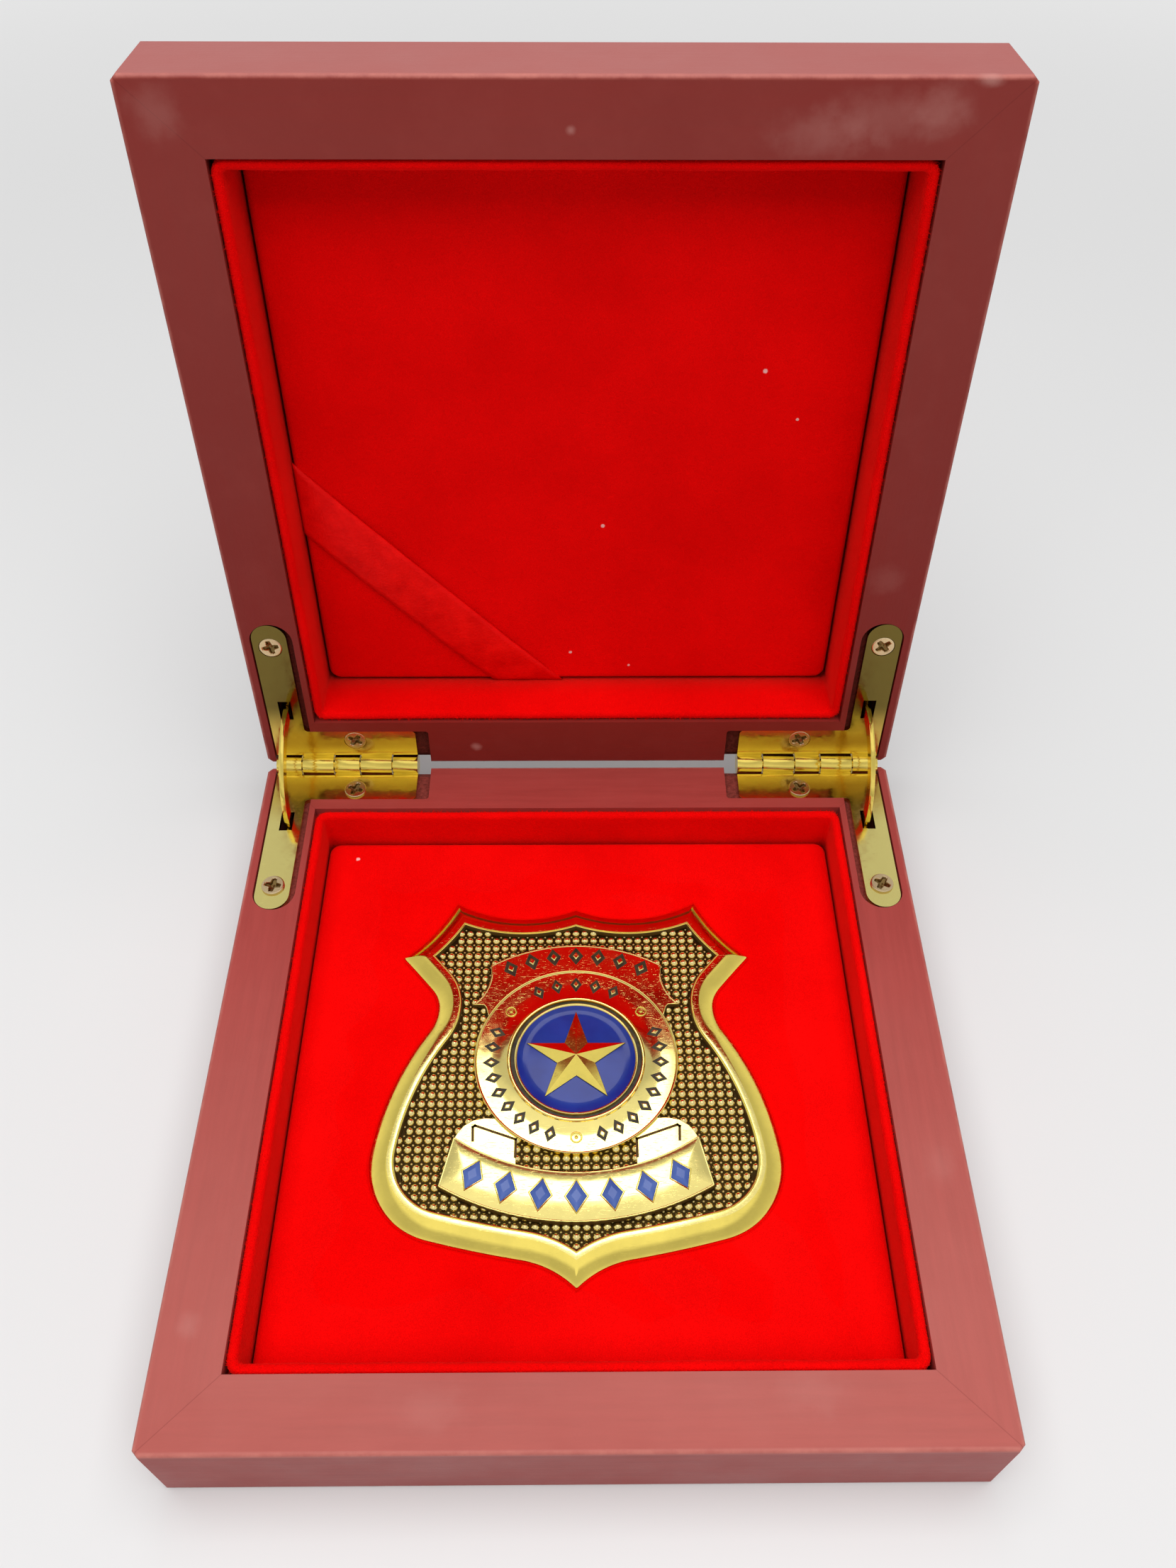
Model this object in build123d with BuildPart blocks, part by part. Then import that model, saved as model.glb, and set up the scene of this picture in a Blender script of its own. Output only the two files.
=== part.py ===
from build123d import *
import math
import os

# Badge display case: a square wooden box with a hinged lid, lined with velvet, holding a shield badge.
# Millimetres, +Z up. The origin is the centre of the underside. The lid stands open, held by its stays.

# ---------------------------------------------------------------- driving dimensions
# The wooden case
case_width = 120.0  # left to right
case_depth = 121.9  # front to rear
base_height = 18.0
lid_height = 15.0
rail_width = 10.4  # as seen on the rim
rim_gap = 0.3  # between the two rims when the lid is shut
upright_chamfer = 0.9  # upright corners
rim_round = 0.6  # outer edges of both rims
outer_round = 1.0  # outer edges of the underside and of the lid's top
panel_thickness = 3.0
rabbet_width = 2.5  # how far a panel reaches into the rails

# The velvet lining
band_thickness = 1.7  # strip bent round the inside of the rails
band_gap = 0.1  # strip to rails
band_drop = 0.4  # rim to the strip's edge
band_corner = 2.3  # outer radius where the strip bends
band_chamfer = 0.6
base_well = 8.0  # rim to base pad
lid_well = 10.3  # rim to lid pad
pad_gap = 0.2  # pad to strip
pad_corner_chamfer = 1.0
pad_round = 0.8
ribbon_width = 9.5
ribbon_thickness = 0.4
ribbon_side_reach = 40.5  # lining's corner to the ribbon's middle, along the side
ribbon_rear_reach = 38.5  # the same, along the rear
ribbon_lift = 0.3  # the ribbon's ends above the pad
ribbon_bow = 1.0  # how much further its middle stands off

# The hinges: an L-shaped leaf in each rim, rolled knuckles on a pin, and a curved stay
opening_angle = 95.0
hinge_setback = 0.45  # rear face to the hinge axis behind it
leaf_thickness = 1.0
leaf_recess = 0.2  # rim to leaf
leaf_inset = 2.0  # side face to leaf
leaf_length = 27.1  # along the rear rim
leaf_reach = 7.95  # rear face to the leaf's inner edge
leaf_corner = 0.8
arm_width = 6.2
arm_reach = 33.2  # rear face to the arm's round end
pin_radius = 0.95
pin_clearance = 0.05
knuckle_radius = 2.0
knuckle_clearance = 0.35  # round a knuckle, to the wood and to the other leaf
knuckle_gap = 0.25  # between neighbouring knuckles
odd_knuckle_width = 4.75  # first, third and fifth
mortise_outer_gap = 0.3  # leaf to wood, towards the side face
mortise_inner_gap = 1.1  # arm to wood, towards the lining
mortise_rear_gap = 0.15  # leaf to wood, along the rear rim
mortise_end_gap = 2.5  # leaf to wood, at the inboard end
mortise_round = 0.6
slot_side_clearance = 0.75  # stay to slot
slot_end_clearance = 0.9
slot_inset = 5.45  # side face to the middle of the slot
stay_inset = 5.8  # side face to the middle of the stay, which hangs to one side of its slot
stay_thickness = 0.9
stay_outer_radius = 15.0
stay_width = 2.6
stay_inner_radius = stay_outer_radius - stay_width
stay_hook_overlap = 0.6  # how far a hook catches under its leaf
stay_hook_angle = 5.0
stay_play = 0.15
stay_share = 0.6  # of the lid's turn that the stay makes
pocket_side_clearance = 1.2
pocket_clearance = 0.4
screw_radius = 1.25
screw_length = 8.0
screw_clearance = 0.05  # in the leaf; the threads bite into the wood, so the rails have no holes for them
screw_head_radius = 2.05
screw_head_rim = 0.2
screw_recess_width = 0.55
screw_recess_length = 2.5
screw_recess_depth = 0.9
arm_screw_reach = 28.2  # rear face to the screw in the arm
rear_screw_reach = 5.6  # rear face to the screw beside the knuckles
rear_screw_inset = 17.5  # side face to that screw
base_screw_stand = 0.45  # the base's screw heads stand proud of their leaves
lid_screw_stand = 0.0

# The badge. Heights are from its back. The points are those of its right half, from the medallion's middle.
badge_x = -0.4
badge_y = 1.15
badge_seat = 0.1  # above the pad
badge_edge = 0.8  # upright edge
badge_field = 1.2  # sunk field
border_swell = (1.5, 1.65)  # the border's bulge: inset from the edge, and height
border_crest = (3.7, 2.1)
border_inset = 4.4
top_cusp = (0.0, 31.1)
top_dip = (10.5, 29.1)
top_point = (21.9, 32.7)
shoulder_dip = (25.8, 25.9)
wing_tip = (30.9, 20.5)
neck_start = (25.5, 14.2)
waist = (24.1, 10.3)
neck_end = (25.4, 5.9)
widest = (33.2, -16.0)
lower_bend = (23.1, -30.6)
lower_end = (8.5, -33.7)
bottom_tip = (0.0, -38.1)
medallion_radius = 17.1
medallion_height = 2.0
lip_radius = 11.6  # outer radius of the lip round the enamel
lip_height = 2.3
enamel_radius = 9.9
enamel_height = 2.1
star_radius = 8.7
star_edge_height = 2.2
star_peak_height = 3.3
crown_scroll_centre = (0.0, -6.9)  # the curved banner over the medallion
crown_scroll_radius = 29.2
crown_scroll_angle = 31.0
crown_lap = 0.3  # over the medallion's edge
crown_scroll_height = 2.2
crown_tail_dip = (15.1, 14.7)
crown_tail_tip = (17.8, 10.2)
crown_tail_notch = (15.6, 10.1)
crown_tail_angle = 27.0  # where the tail meets the medallion
motto_scroll_centre = (0.0, 15.1)  # the curved banner under the medallion
motto_scroll_radii = (35.3, 43.4)
motto_scroll_half_widths = (19.7, 21.7)
motto_scroll_height = 2.4
fold_height = 1.8  # the banner's folded tails, behind it
fold_outline = [(19.7, -14.2), (18.8, -12.5), (17.2, -11.6), (12.6, -11.0), (9.6, -13.0), (9.6, -20.0)]
lozenge_count = 7
lozenge_length = 5.0
lozenge_width = 3.4
lozenge_depth = 0.5
lozenge_pitch = 8.2  # degrees about the banner's centre

# ---------------------------------------------------------------- worked out from these
rim = rim_gap / 2  # hinge axis to either rim
axis_height = base_height + rim
axis_y = case_depth / 2 + hinge_setback
mid_depth = hinge_setback + case_depth / 2
leaf_top = rim + leaf_recess
leaf_bottom = leaf_top + leaf_thickness
notch_reach = knuckle_radius + knuckle_clearance
opening_width = case_width - 2 * rail_width
opening_depth = case_depth - 2 * rail_width
band_inset = band_gap + band_thickness
pad_inset = band_inset + pad_gap
even_knuckle_width = (leaf_length - 3 * odd_knuckle_width - 4 * knuckle_gap) / 2
stay_hook_radius = stay_outer_radius + slot_end_clearance + stay_hook_overlap
shoulder_angle = math.degrees(math.asin((leaf_bottom + stay_play) / stay_outer_radius))
stay_end_angle = shoulder_angle + stay_hook_angle

# Each half is drawn in its own frame, which sits on the hinge axis at mid-width: x runs along the axis,
# y from the hinge towards the front edge, and z from the rim into the wood. The lid's frame is the
# base's, turned over, so a left base leaf and a right lid leaf are the same part.
turn = math.radians(opening_angle)
frames = {
    "base": Plane(origin=(0, axis_y, axis_height), x_dir=(1, 0, 0), z_dir=(0, 0, -1)),
    "lid": Plane(origin=(0, axis_y, axis_height), x_dir=(-1, 0, 0), z_dir=(0, math.sin(turn), math.cos(turn))),
}
heights = {"base": base_height, "lid": lid_height}
wells = {"base": base_well, "lid": lid_well}
screw_stands = {"base": base_screw_stand, "lid": lid_screw_stand}
stay_turns = {"base": stay_share * opening_angle, "lid": (1 - stay_share) * opening_angle}
left_side = {"base": -1, "lid": 1}  # where a half's own frame has the case's left side


# ---------------------------------------------------------------- helpers
def along(frame, x=0.0, y=0.0, z=0.0):
    """A point given in a half's frame, in the case's own coordinates."""
    return Vector(*frame.from_local_coords((x, y, z)))


def cross_section(frame, x):
    """The plane across the hinge axis at x. Its own x is the frame's y, and its own y the frame's z."""
    return Plane(origin=along(frame, x), x_dir=frame.y_dir, z_dir=frame.x_dir)


def depth_axis(frame):
    """The direction from the rim into the wood, for choosing faces."""
    return Axis(frame.origin, frame.z_dir)


def from_side(inset, side):
    """The frame's x at a distance in from the side face."""
    return side * (case_width / 2 - inset)


def span(start, end):
    """The middle and the length of a stretch, whichever end comes first."""
    return (start + end) / 2, abs(end - start)


def finish(name, part):
    """Label a finished piece and write it."""
    part.label = name
    export_step(part, f"parts/{name}.step")


# ---------------------------------------------------------------- screws
def screw_profile(grow, above):
    """Half of a screw's section: x from its middle, y from the head's face towards the driver."""
    cone = screw_head_radius - screw_radius
    return [
        (0, above),
        (screw_head_radius + grow, above),
        (screw_head_radius + grow, -screw_head_rim),
        (screw_radius + grow, -screw_head_rim - cone),
        (screw_radius + grow, -screw_length - grow),
        (0, -screw_length - grow),
    ]


def screw_heads(half, side):
    """The middles of the head faces of a leaf's two screws."""
    frame = frames[half]
    depth = leaf_top - screw_stands[half]
    arm_middle = from_side(leaf_inset + arm_width / 2, side)
    return [
        along(frame, arm_middle, hinge_setback + arm_screw_reach, depth),
        along(frame, from_side(rear_screw_inset, side), hinge_setback + rear_screw_reach, depth),
    ]


def screw_pair(half, side, grow=0.0, above=0.0):
    """A leaf's two screws, or, grown a little and carried on above the heads, the holes for them."""
    frame = frames[half]
    with BuildPart() as screws:
        for head in screw_heads(half, side):
            with BuildSketch(Plane(origin=head, x_dir=frame.x_dir, z_dir=frame.y_dir)):
                with BuildLine():
                    Polyline(*screw_profile(grow, above), close=True)
                make_face()
            revolve(axis=Axis(head, frame.z_dir))
    return screws.part


def screw_holes(half, side):
    return screw_pair(half, side, grow=screw_clearance, above=leaf_thickness)


def hinge_screws(half):
    """The four screws of one half, with their cross recesses."""
    frame = frames[half]
    with BuildPart() as screws:
        for side in (-1, 1):
            add(screw_pair(half, side))
            for head in screw_heads(half, side):
                with BuildSketch(Plane(origin=head, x_dir=frame.x_dir, z_dir=frame.z_dir)):
                    Rectangle(screw_recess_length, screw_recess_width)
                    Rectangle(screw_recess_width, screw_recess_length)
                extrude(amount=screw_recess_depth, mode=Mode.SUBTRACT)
    finish(f"{half}_hinge_screws", screws.part)


# ---------------------------------------------------------------- wooden frame and panels
def stay_pocket(half, side):
    """Room below a leaf for the end of the stay, over the stay's whole turn."""
    frame = frames[half]
    deepest = math.radians(stay_end_angle + stay_turns[half])
    nearest = stay_inner_radius * math.cos(deepest) - pocket_clearance
    farthest = stay_hook_radius + pocket_clearance
    depth = stay_hook_radius * math.sin(deepest) + pocket_clearance
    middle, length = span(nearest, farthest)
    with BuildPart() as pocket:
        with BuildSketch(frame.offset(rim)):
            with Locations((from_side(slot_inset, side), middle)):
                Rectangle(stay_thickness + 2 * pocket_side_clearance, length)
        extrude(amount=depth - rim)
    return pocket.part


def leaf_mortise(half, side):
    """Recess in the rim for a leaf, with a cove along the rear edge for the knuckles."""
    frame = frames[half]
    outer = from_side(leaf_inset - mortise_outer_gap, side)
    arm_inner = from_side(leaf_inset + arm_width + mortise_inner_gap, side)
    end = from_side(leaf_inset + leaf_length + mortise_end_gap, side)
    arm_middle, arm_span = span(outer, arm_inner)
    end_middle, end_span = span(outer, end)
    rear_reach = hinge_setback + leaf_reach + mortise_rear_gap
    arm_end = hinge_setback + arm_reach + mortise_outer_gap - arm_span / 2
    with BuildPart() as mortise:
        with BuildSketch(frame.offset(rim)) as outline:
            with Locations((arm_middle, arm_end / 2)):
                Rectangle(arm_span, arm_end)
            with Locations((arm_middle, arm_end)):
                Circle(arm_span / 2)
            with Locations((end_middle, rear_reach / 2)):
                Rectangle(end_span, rear_reach)
            fillet(outline.vertices().sort_by_distance((end, rear_reach))[0], radius=mortise_round)
        extrude(amount=leaf_recess + leaf_thickness)
        with BuildSketch(cross_section(frame, min(outer, end))):
            Circle(notch_reach)
        extrude(amount=end_span)
    return mortise.part


def rail_frame(half):
    """The four rails in one piece, before they are parted at the mitres."""
    frame, height = frames[half], heights[half]
    with BuildPart() as ring:
        with BuildSketch(frame.offset(rim)) as outline:
            with Locations((0, mid_depth)):
                Rectangle(case_width, case_depth)
                chamfer(outline.vertices(), length=upright_chamfer)
                Rectangle(opening_width, opening_depth, mode=Mode.SUBTRACT)
        extrude(amount=height)
        ends = ring.faces().sort_by(depth_axis(frame))
        rim_edges, outer_edges = ends[0].outer_wire().edges(), ends[-1].outer_wire().edges()
        fillet(rim_edges, radius=rim_round)
        fillet(outer_edges, radius=outer_round)
        with BuildSketch(frame.offset(rim + height - panel_thickness)):
            with Locations((0, mid_depth)):
                Rectangle(opening_width + 2 * rabbet_width, opening_depth + 2 * rabbet_width)
        extrude(amount=panel_thickness, mode=Mode.SUBTRACT)
        for side in (-1, 1):
            add(leaf_mortise(half, side), mode=Mode.SUBTRACT)
            add(stay_pocket(half, side), mode=Mode.SUBTRACT)
    return ring.part


def mitred_outlines(half):
    """Where each rail lies, seen on the rim. The mitres run from corner to corner."""
    rear, front = hinge_setback, hinge_setback + case_depth
    x, inner_x = case_width / 2, opening_width / 2
    inner_rear, inner_front = rear + rail_width, front - rail_width
    left = left_side[half]
    outlines = {
        "front": [(-x, front), (x, front), (inner_x, inner_front), (-inner_x, inner_front)],
        "rear": [(-x, rear), (x, rear), (inner_x, inner_rear), (-inner_x, inner_rear)],
    }
    for name, side in (("left", left), ("right", -left)):
        outlines[name] = [
            (side * x, rear),
            (side * x, front),
            (side * inner_x, inner_front),
            (side * inner_x, inner_rear),
        ]
    return outlines


def rails(half):
    """The four mitred rails of one half."""
    frame, ring = frames[half], rail_frame(half)
    for place, outline in mitred_outlines(half).items():
        with BuildPart() as rail:
            add(ring)
            with BuildSketch(frame.offset(rim)):
                Polygon(*outline, align=None)
            extrude(amount=heights[half], mode=Mode.INTERSECT)
        finish(f"{half}_{place}_rail", rail.part)


def panel(half, name):
    """The thin panel glued into the rabbet, flush with the rails."""
    frame = frames[half]
    with BuildPart() as board:
        with BuildSketch(frame.offset(rim + heights[half] - panel_thickness)):
            with Locations((0, mid_depth)):
                Rectangle(opening_width + 2 * rabbet_width, opening_depth + 2 * rabbet_width)
        extrude(amount=panel_thickness)
    finish(name, board.part)


# ---------------------------------------------------------------- velvet lining
def lining_band(half):
    """One velvet-covered strip, bent round the inside of the rails."""
    frame = frames[half]
    width, depth = opening_width - 2 * band_gap, opening_depth - 2 * band_gap
    with BuildPart() as band:
        with BuildSketch(frame.offset(rim + band_drop)):
            with Locations((0, mid_depth)):
                RectangleRounded(width, depth, band_corner)
                Rectangle(width - 2 * band_thickness, depth - 2 * band_thickness, mode=Mode.SUBTRACT)
        extrude(amount=heights[half] - panel_thickness - band_drop)
        chamfer(band.faces().sort_by(depth_axis(frame))[0].edges(), length=band_chamfer)
    finish(f"{half}_lining_band", band.part)


def pad(half):
    """The velvet-covered pad on the panel, with a soft edge."""
    frame = frames[half]
    with BuildPart() as cushion:
        with BuildSketch(frame.offset(rim + wells[half])) as outline:
            with Locations((0, mid_depth)):
                Rectangle(opening_width - 2 * pad_inset, opening_depth - 2 * pad_inset)
            chamfer(outline.vertices(), length=pad_corner_chamfer)
        extrude(amount=heights[half] - panel_thickness - wells[half])
        fillet(cushion.faces().sort_by(depth_axis(frame))[0].edges(), radius=pad_round)
    finish(f"{half}_pad", cushion.part)


def lid_ribbon():
    """A ribbon across the lid's lower left corner. It bows away from the pad between its ends."""
    frame = frames["lid"]
    pad_level = rim + lid_well
    corner_x = left_side["lid"] * (opening_width / 2 - band_inset)
    corner_y = hinge_setback + rail_width + band_inset
    side_end = along(frame, corner_x, corner_y + ribbon_side_reach, pad_level)
    rear_end = along(frame, corner_x - left_side["lid"] * ribbon_rear_reach, corner_y, pad_level)
    run = side_end - rear_end
    to_rim = -frame.z_dir
    profile_plane = Plane(origin=(side_end + rear_end) / 2, x_dir=run, z_dir=run.cross(to_rim))
    half_run = run.length / 2 + ribbon_width
    ends = ribbon_lift + ribbon_bow * (1 - (2 * half_run / run.length) ** 2)
    with BuildPart() as ribbon:
        with BuildSketch(profile_plane):
            with BuildLine():
                lower = ThreePointArc((-half_run, ends), (0, ribbon_lift + ribbon_bow), (half_run, ends))
                upper = offset(lower, ribbon_thickness, side=Side.LEFT, closed=True)
            make_face()
        extrude(amount=ribbon_width / 2, both=True)
        with BuildSketch(frame.offset(pad_level)):
            with Locations((0, mid_depth)):
                Rectangle(opening_width - 2 * pad_inset, opening_depth - 2 * pad_inset)
        extrude(amount=-lid_well, mode=Mode.INTERSECT)
    finish("lid_ribbon", ribbon.part)


# ---------------------------------------------------------------- hinges and stays
def knuckle_span(index, side):
    """The frame's x of a knuckle's lower end, and its width. They are counted from the side face inwards."""
    widths = [even_knuckle_width if place % 2 else odd_knuckle_width for place in range(5)]
    start = sum(widths[:index]) + index * knuckle_gap
    outer, inner = (from_side(leaf_inset + reach, side) for reach in (start, start + widths[index]))
    return min(outer, inner), widths[index]


def hinge_leaf(name, half, side, carries_odd):
    """An L-shaped leaf, with the knuckles that are rolled from it."""
    frame = frames[half]
    outer = from_side(leaf_inset, side)
    arm_inner = from_side(leaf_inset + arm_width, side)
    end = from_side(leaf_inset + leaf_length, side)
    arm_middle = (outer + arm_inner) / 2
    end_middle = (outer + end) / 2
    inner_edge = hinge_setback + leaf_reach
    arm_end = hinge_setback + arm_reach - arm_width / 2
    arm_centre, arm_run = span(notch_reach, arm_end)
    plate_centre, plate_run = span(notch_reach, inner_edge)
    slot_centre = (stay_inner_radius + stay_outer_radius) / 2
    slot_length = stay_outer_radius - stay_inner_radius + 2 * slot_end_clearance
    with BuildPart() as leaf:
        with BuildSketch(frame.offset(leaf_top)) as outline:
            with Locations((arm_middle, arm_centre)):
                Rectangle(arm_width, arm_run)
            with Locations((arm_middle, arm_end)):
                Circle(arm_width / 2)
            with Locations((end_middle, plate_centre)):
                Rectangle(leaf_length, plate_run)
            for corner in ((arm_inner, inner_edge), (end, inner_edge)):
                fillet(outline.vertices().sort_by_distance(corner)[0], radius=leaf_corner)
            with Locations((from_side(slot_inset, side), slot_centre)):
                Rectangle(stay_thickness + 2 * slot_side_clearance, slot_length, mode=Mode.SUBTRACT)
        extrude(amount=leaf_thickness)
        for index in range(0 if carries_odd else 1, 5, 2):
            start, width = knuckle_span(index, side)
            with BuildSketch(cross_section(frame, start)):
                Circle(knuckle_radius)
                with Locations((0, leaf_top)):
                    Rectangle(notch_reach + leaf_thickness, leaf_thickness, align=Align.MIN)
                Circle(pin_radius + pin_clearance, mode=Mode.SUBTRACT)
            extrude(amount=width)
        add(screw_holes(half, side), mode=Mode.SUBTRACT)
    finish(name, leaf.part)


def hinge_pin(name, half, side):
    """The pin, as long as the row of knuckles."""
    start = min(from_side(leaf_inset, side), from_side(leaf_inset + leaf_length, side))
    with BuildPart() as pin:
        with BuildSketch(cross_section(frames[half], start)):
            Circle(pin_radius)
        extrude(amount=leaf_length)
    finish(name, pin.part)


def stay(name, side):
    """A flat plate bent round the hinge axis. A hook at each end catches under a leaf."""
    frame = frames["base"]

    def at(radius, angle):
        return (radius * math.cos(math.radians(angle)), radius * math.sin(math.radians(angle)))

    base_end, lid_end = stay_end_angle, -opening_angle - stay_end_angle
    base_shoulder, lid_shoulder = shoulder_angle, -opening_angle - shoulder_angle
    middle = -opening_angle / 2
    with BuildPart() as plate:
        with BuildSketch(cross_section(frame, from_side(stay_inset, side))):
            with BuildLine():
                ThreePointArc(
                    at(stay_inner_radius, base_end), at(stay_inner_radius, middle), at(stay_inner_radius, lid_end)
                )
                Line(at(stay_inner_radius, lid_end), at(stay_hook_radius, lid_end))
                CenterArc((0, 0), stay_hook_radius, lid_end, stay_hook_angle)
                Line(at(stay_hook_radius, lid_shoulder), at(stay_outer_radius, lid_shoulder))
                ThreePointArc(
                    at(stay_outer_radius, lid_shoulder),
                    at(stay_outer_radius, middle),
                    at(stay_outer_radius, base_shoulder),
                )
                Line(at(stay_outer_radius, base_shoulder), at(stay_hook_radius, base_shoulder))
                CenterArc((0, 0), stay_hook_radius, base_shoulder, stay_hook_angle)
                Line(at(stay_hook_radius, base_end), at(stay_inner_radius, base_end))
            make_face()
        extrude(amount=stay_thickness / 2, both=True)
    finish(name, plate.part)


# ---------------------------------------------------------------- badge
def badge_plane(height):
    """The plane at a height above the badge's back, centred on the medallion."""
    return Plane(origin=(badge_x, badge_y, base_height - base_well + badge_seat + height))


def badge_outline(inset, height):
    """The shield's outline, drawn in by an inset, at a height above its back."""
    with BuildSketch(badge_plane(height)) as outline:
        with BuildLine():
            ThreePointArc(top_cusp, top_dip, top_point)
            ThreePointArc(top_point, shoulder_dip, wing_tip)
            upper_neck = TangentArc(waist, neck_start, tangent=(0, 1))
            TangentArc(neck_start, wing_tip, tangent=upper_neck % 1)
            lower_neck = TangentArc(waist, neck_end, tangent=(0, -1))
            flank = TangentArc(neck_end, widest, tangent=lower_neck % 1)
            bend = TangentArc(widest, lower_bend, tangent=flank % 1)
            skirt = TangentArc(lower_bend, lower_end, tangent=bend % 1)
            TangentArc(lower_end, bottom_tip, tangent=skirt % 1)
            mirror(about=Plane.YZ)
        make_face()
        if inset:
            offset(amount=-inset, kind=Kind.INTERSECTION)
    return outline.sketch


def star_points(radius):
    """The ten corners of a five-pointed star, one point up."""
    inner = radius * math.sin(math.radians(18)) / math.sin(math.radians(54))
    corners = []
    for step in range(10):
        angle = math.radians(90 + 36 * step)
        reach = inner if step % 2 else radius
        corners.append((reach * math.cos(angle), reach * math.sin(angle)))
    return corners


def crown_scroll():
    """The curved banner over the medallion, with its flared tails. It laps the medallion's edge."""
    centre_x, centre_y = crown_scroll_centre
    lap_radius = medallion_radius - crown_lap

    def at(angle):
        turned = math.radians(angle)
        return (centre_x + crown_scroll_radius * math.sin(turned), centre_y + crown_scroll_radius * math.cos(turned))

    def on_medallion(angle):
        return (lap_radius * math.cos(math.radians(angle)), lap_radius * math.sin(math.radians(angle)))

    with BuildSketch(badge_plane(0)) as scroll:
        with BuildLine():
            ThreePointArc(at(0), at(crown_scroll_angle / 2), at(crown_scroll_angle))
            ThreePointArc(at(crown_scroll_angle), crown_tail_dip, crown_tail_tip)
            Line(crown_tail_tip, crown_tail_notch)
            Line(crown_tail_notch, on_medallion(crown_tail_angle))
            ThreePointArc(
                on_medallion(crown_tail_angle), on_medallion((90 + crown_tail_angle) / 2), on_medallion(90)
            )
            mirror(about=Plane.YZ)
        make_face()
    return scroll.sketch


def motto_scroll():
    """The curved banner under the medallion."""
    corners = []
    for radius, half_width in zip(motto_scroll_radii, motto_scroll_half_widths):
        drop = math.sqrt(radius**2 - half_width**2)
        corners.append((half_width, motto_scroll_centre[1] - drop))
    inner, outer = (motto_scroll_centre[1] - radius for radius in motto_scroll_radii)
    (inner_x, inner_y), (outer_x, outer_y) = corners
    with BuildSketch(badge_plane(0)) as scroll:
        with BuildLine():
            ThreePointArc((-inner_x, inner_y), (0, inner), (inner_x, inner_y))
            Line((inner_x, inner_y), (outer_x, outer_y))
            ThreePointArc((outer_x, outer_y), (0, outer), (-outer_x, outer_y))
            Line((-outer_x, outer_y), (-inner_x, inner_y))
        make_face()
    return scroll.sketch


def lozenges():
    """The row of lozenges along the middle of the lower banner."""
    mean_radius = sum(motto_scroll_radii) / 2
    with BuildSketch(badge_plane(0)) as row:
        for step in range(lozenge_count):
            angle = (step - (lozenge_count - 1) / 2) * lozenge_pitch
            turned = math.radians(angle)
            place = (
                motto_scroll_centre[0] + mean_radius * math.sin(turned),
                motto_scroll_centre[1] - mean_radius * math.cos(turned),
            )
            across, up = lozenge_width / 2, lozenge_length / 2
            with Locations(Location((*place, 0), (0, 0, angle))):
                Polygon((across, 0), (0, up), (-across, 0), (0, -up))
    return row.sketch


def raised(sketch, low, high):
    """A flat shape of the badge, as a solid between two heights."""
    with BuildPart() as shape:
        add(sketch.moved(Location((0, 0, low))))
        extrude(amount=high - low)
    return shape.part


def lower_folds():
    """The folded tails behind the lower banner, one at each side."""
    with BuildSketch(badge_plane(0)) as folds:
        Polygon(*fold_outline, align=None)
        mirror(about=Plane.YZ)
    return folds.sketch


def star():
    """The star's outline."""
    with BuildSketch(badge_plane(0)) as outline:
        Polygon(*star_points(star_radius), align=None)
    return outline.sketch


def medallion():
    """The round medallion on the field, with a lip about the enamel."""
    centre = badge_plane(0).origin
    with BuildPart() as ring:
        with BuildSketch(Plane(origin=centre, x_dir=(1, 0, 0), z_dir=(0, -1, 0))):
            with BuildLine():
                Polyline(
                    (enamel_radius, badge_edge),
                    (enamel_radius, lip_height),
                    (lip_radius, lip_height),
                    (lip_radius, medallion_height),
                    (medallion_radius, medallion_height),
                    (medallion_radius, badge_edge),
                    close=True,
                )
            make_face()
        revolve(axis=Axis(centre, (0, 0, 1)))
    return ring.part


def badge_shield():
    """The cast shield: moulded border, sunk field, medallion, star and both banners."""
    with BuildPart() as shield:
        add(badge_outline(0, 0))
        extrude(amount=badge_edge)
        levels = [(0, badge_edge), border_swell, border_crest]
        for lower, upper in zip(levels, levels[1:]):
            loft([badge_outline(*lower).face(), badge_outline(*upper).face()], ruled=True)
        add(raised(badge_outline(border_inset, 0), badge_field, border_crest[1]), mode=Mode.SUBTRACT)
        add(raised(lower_folds(), badge_edge, fold_height))
        add(raised(crown_scroll(), badge_edge, crown_scroll_height))
        add(medallion())
        add(raised(motto_scroll(), badge_edge, motto_scroll_height))
        add(raised(lozenges(), motto_scroll_height - lozenge_depth, motto_scroll_height), mode=Mode.SUBTRACT)
        add(raised(star(), badge_edge, star_edge_height))
        star_base = star().moved(Location((0, 0, star_edge_height)))
        peak = Vertex(*(badge_plane(star_peak_height).origin))
        loft([star_base.face(), peak], ruled=True)
    finish("badge_shield", shield.part)


def badge_enamel():
    """The enamel round the star, and the lozenges of the lower banner."""
    with BuildPart() as disc:
        with BuildSketch(badge_plane(badge_field)):
            Circle(enamel_radius)
        extrude(amount=enamel_height - badge_field)
        add(raised(star(), badge_edge, star_edge_height), mode=Mode.SUBTRACT)
    finish("badge_enamel_disc", disc.part)
    finish("badge_banner_enamel", raised(lozenges(), motto_scroll_height - lozenge_depth, motto_scroll_height))


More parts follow.
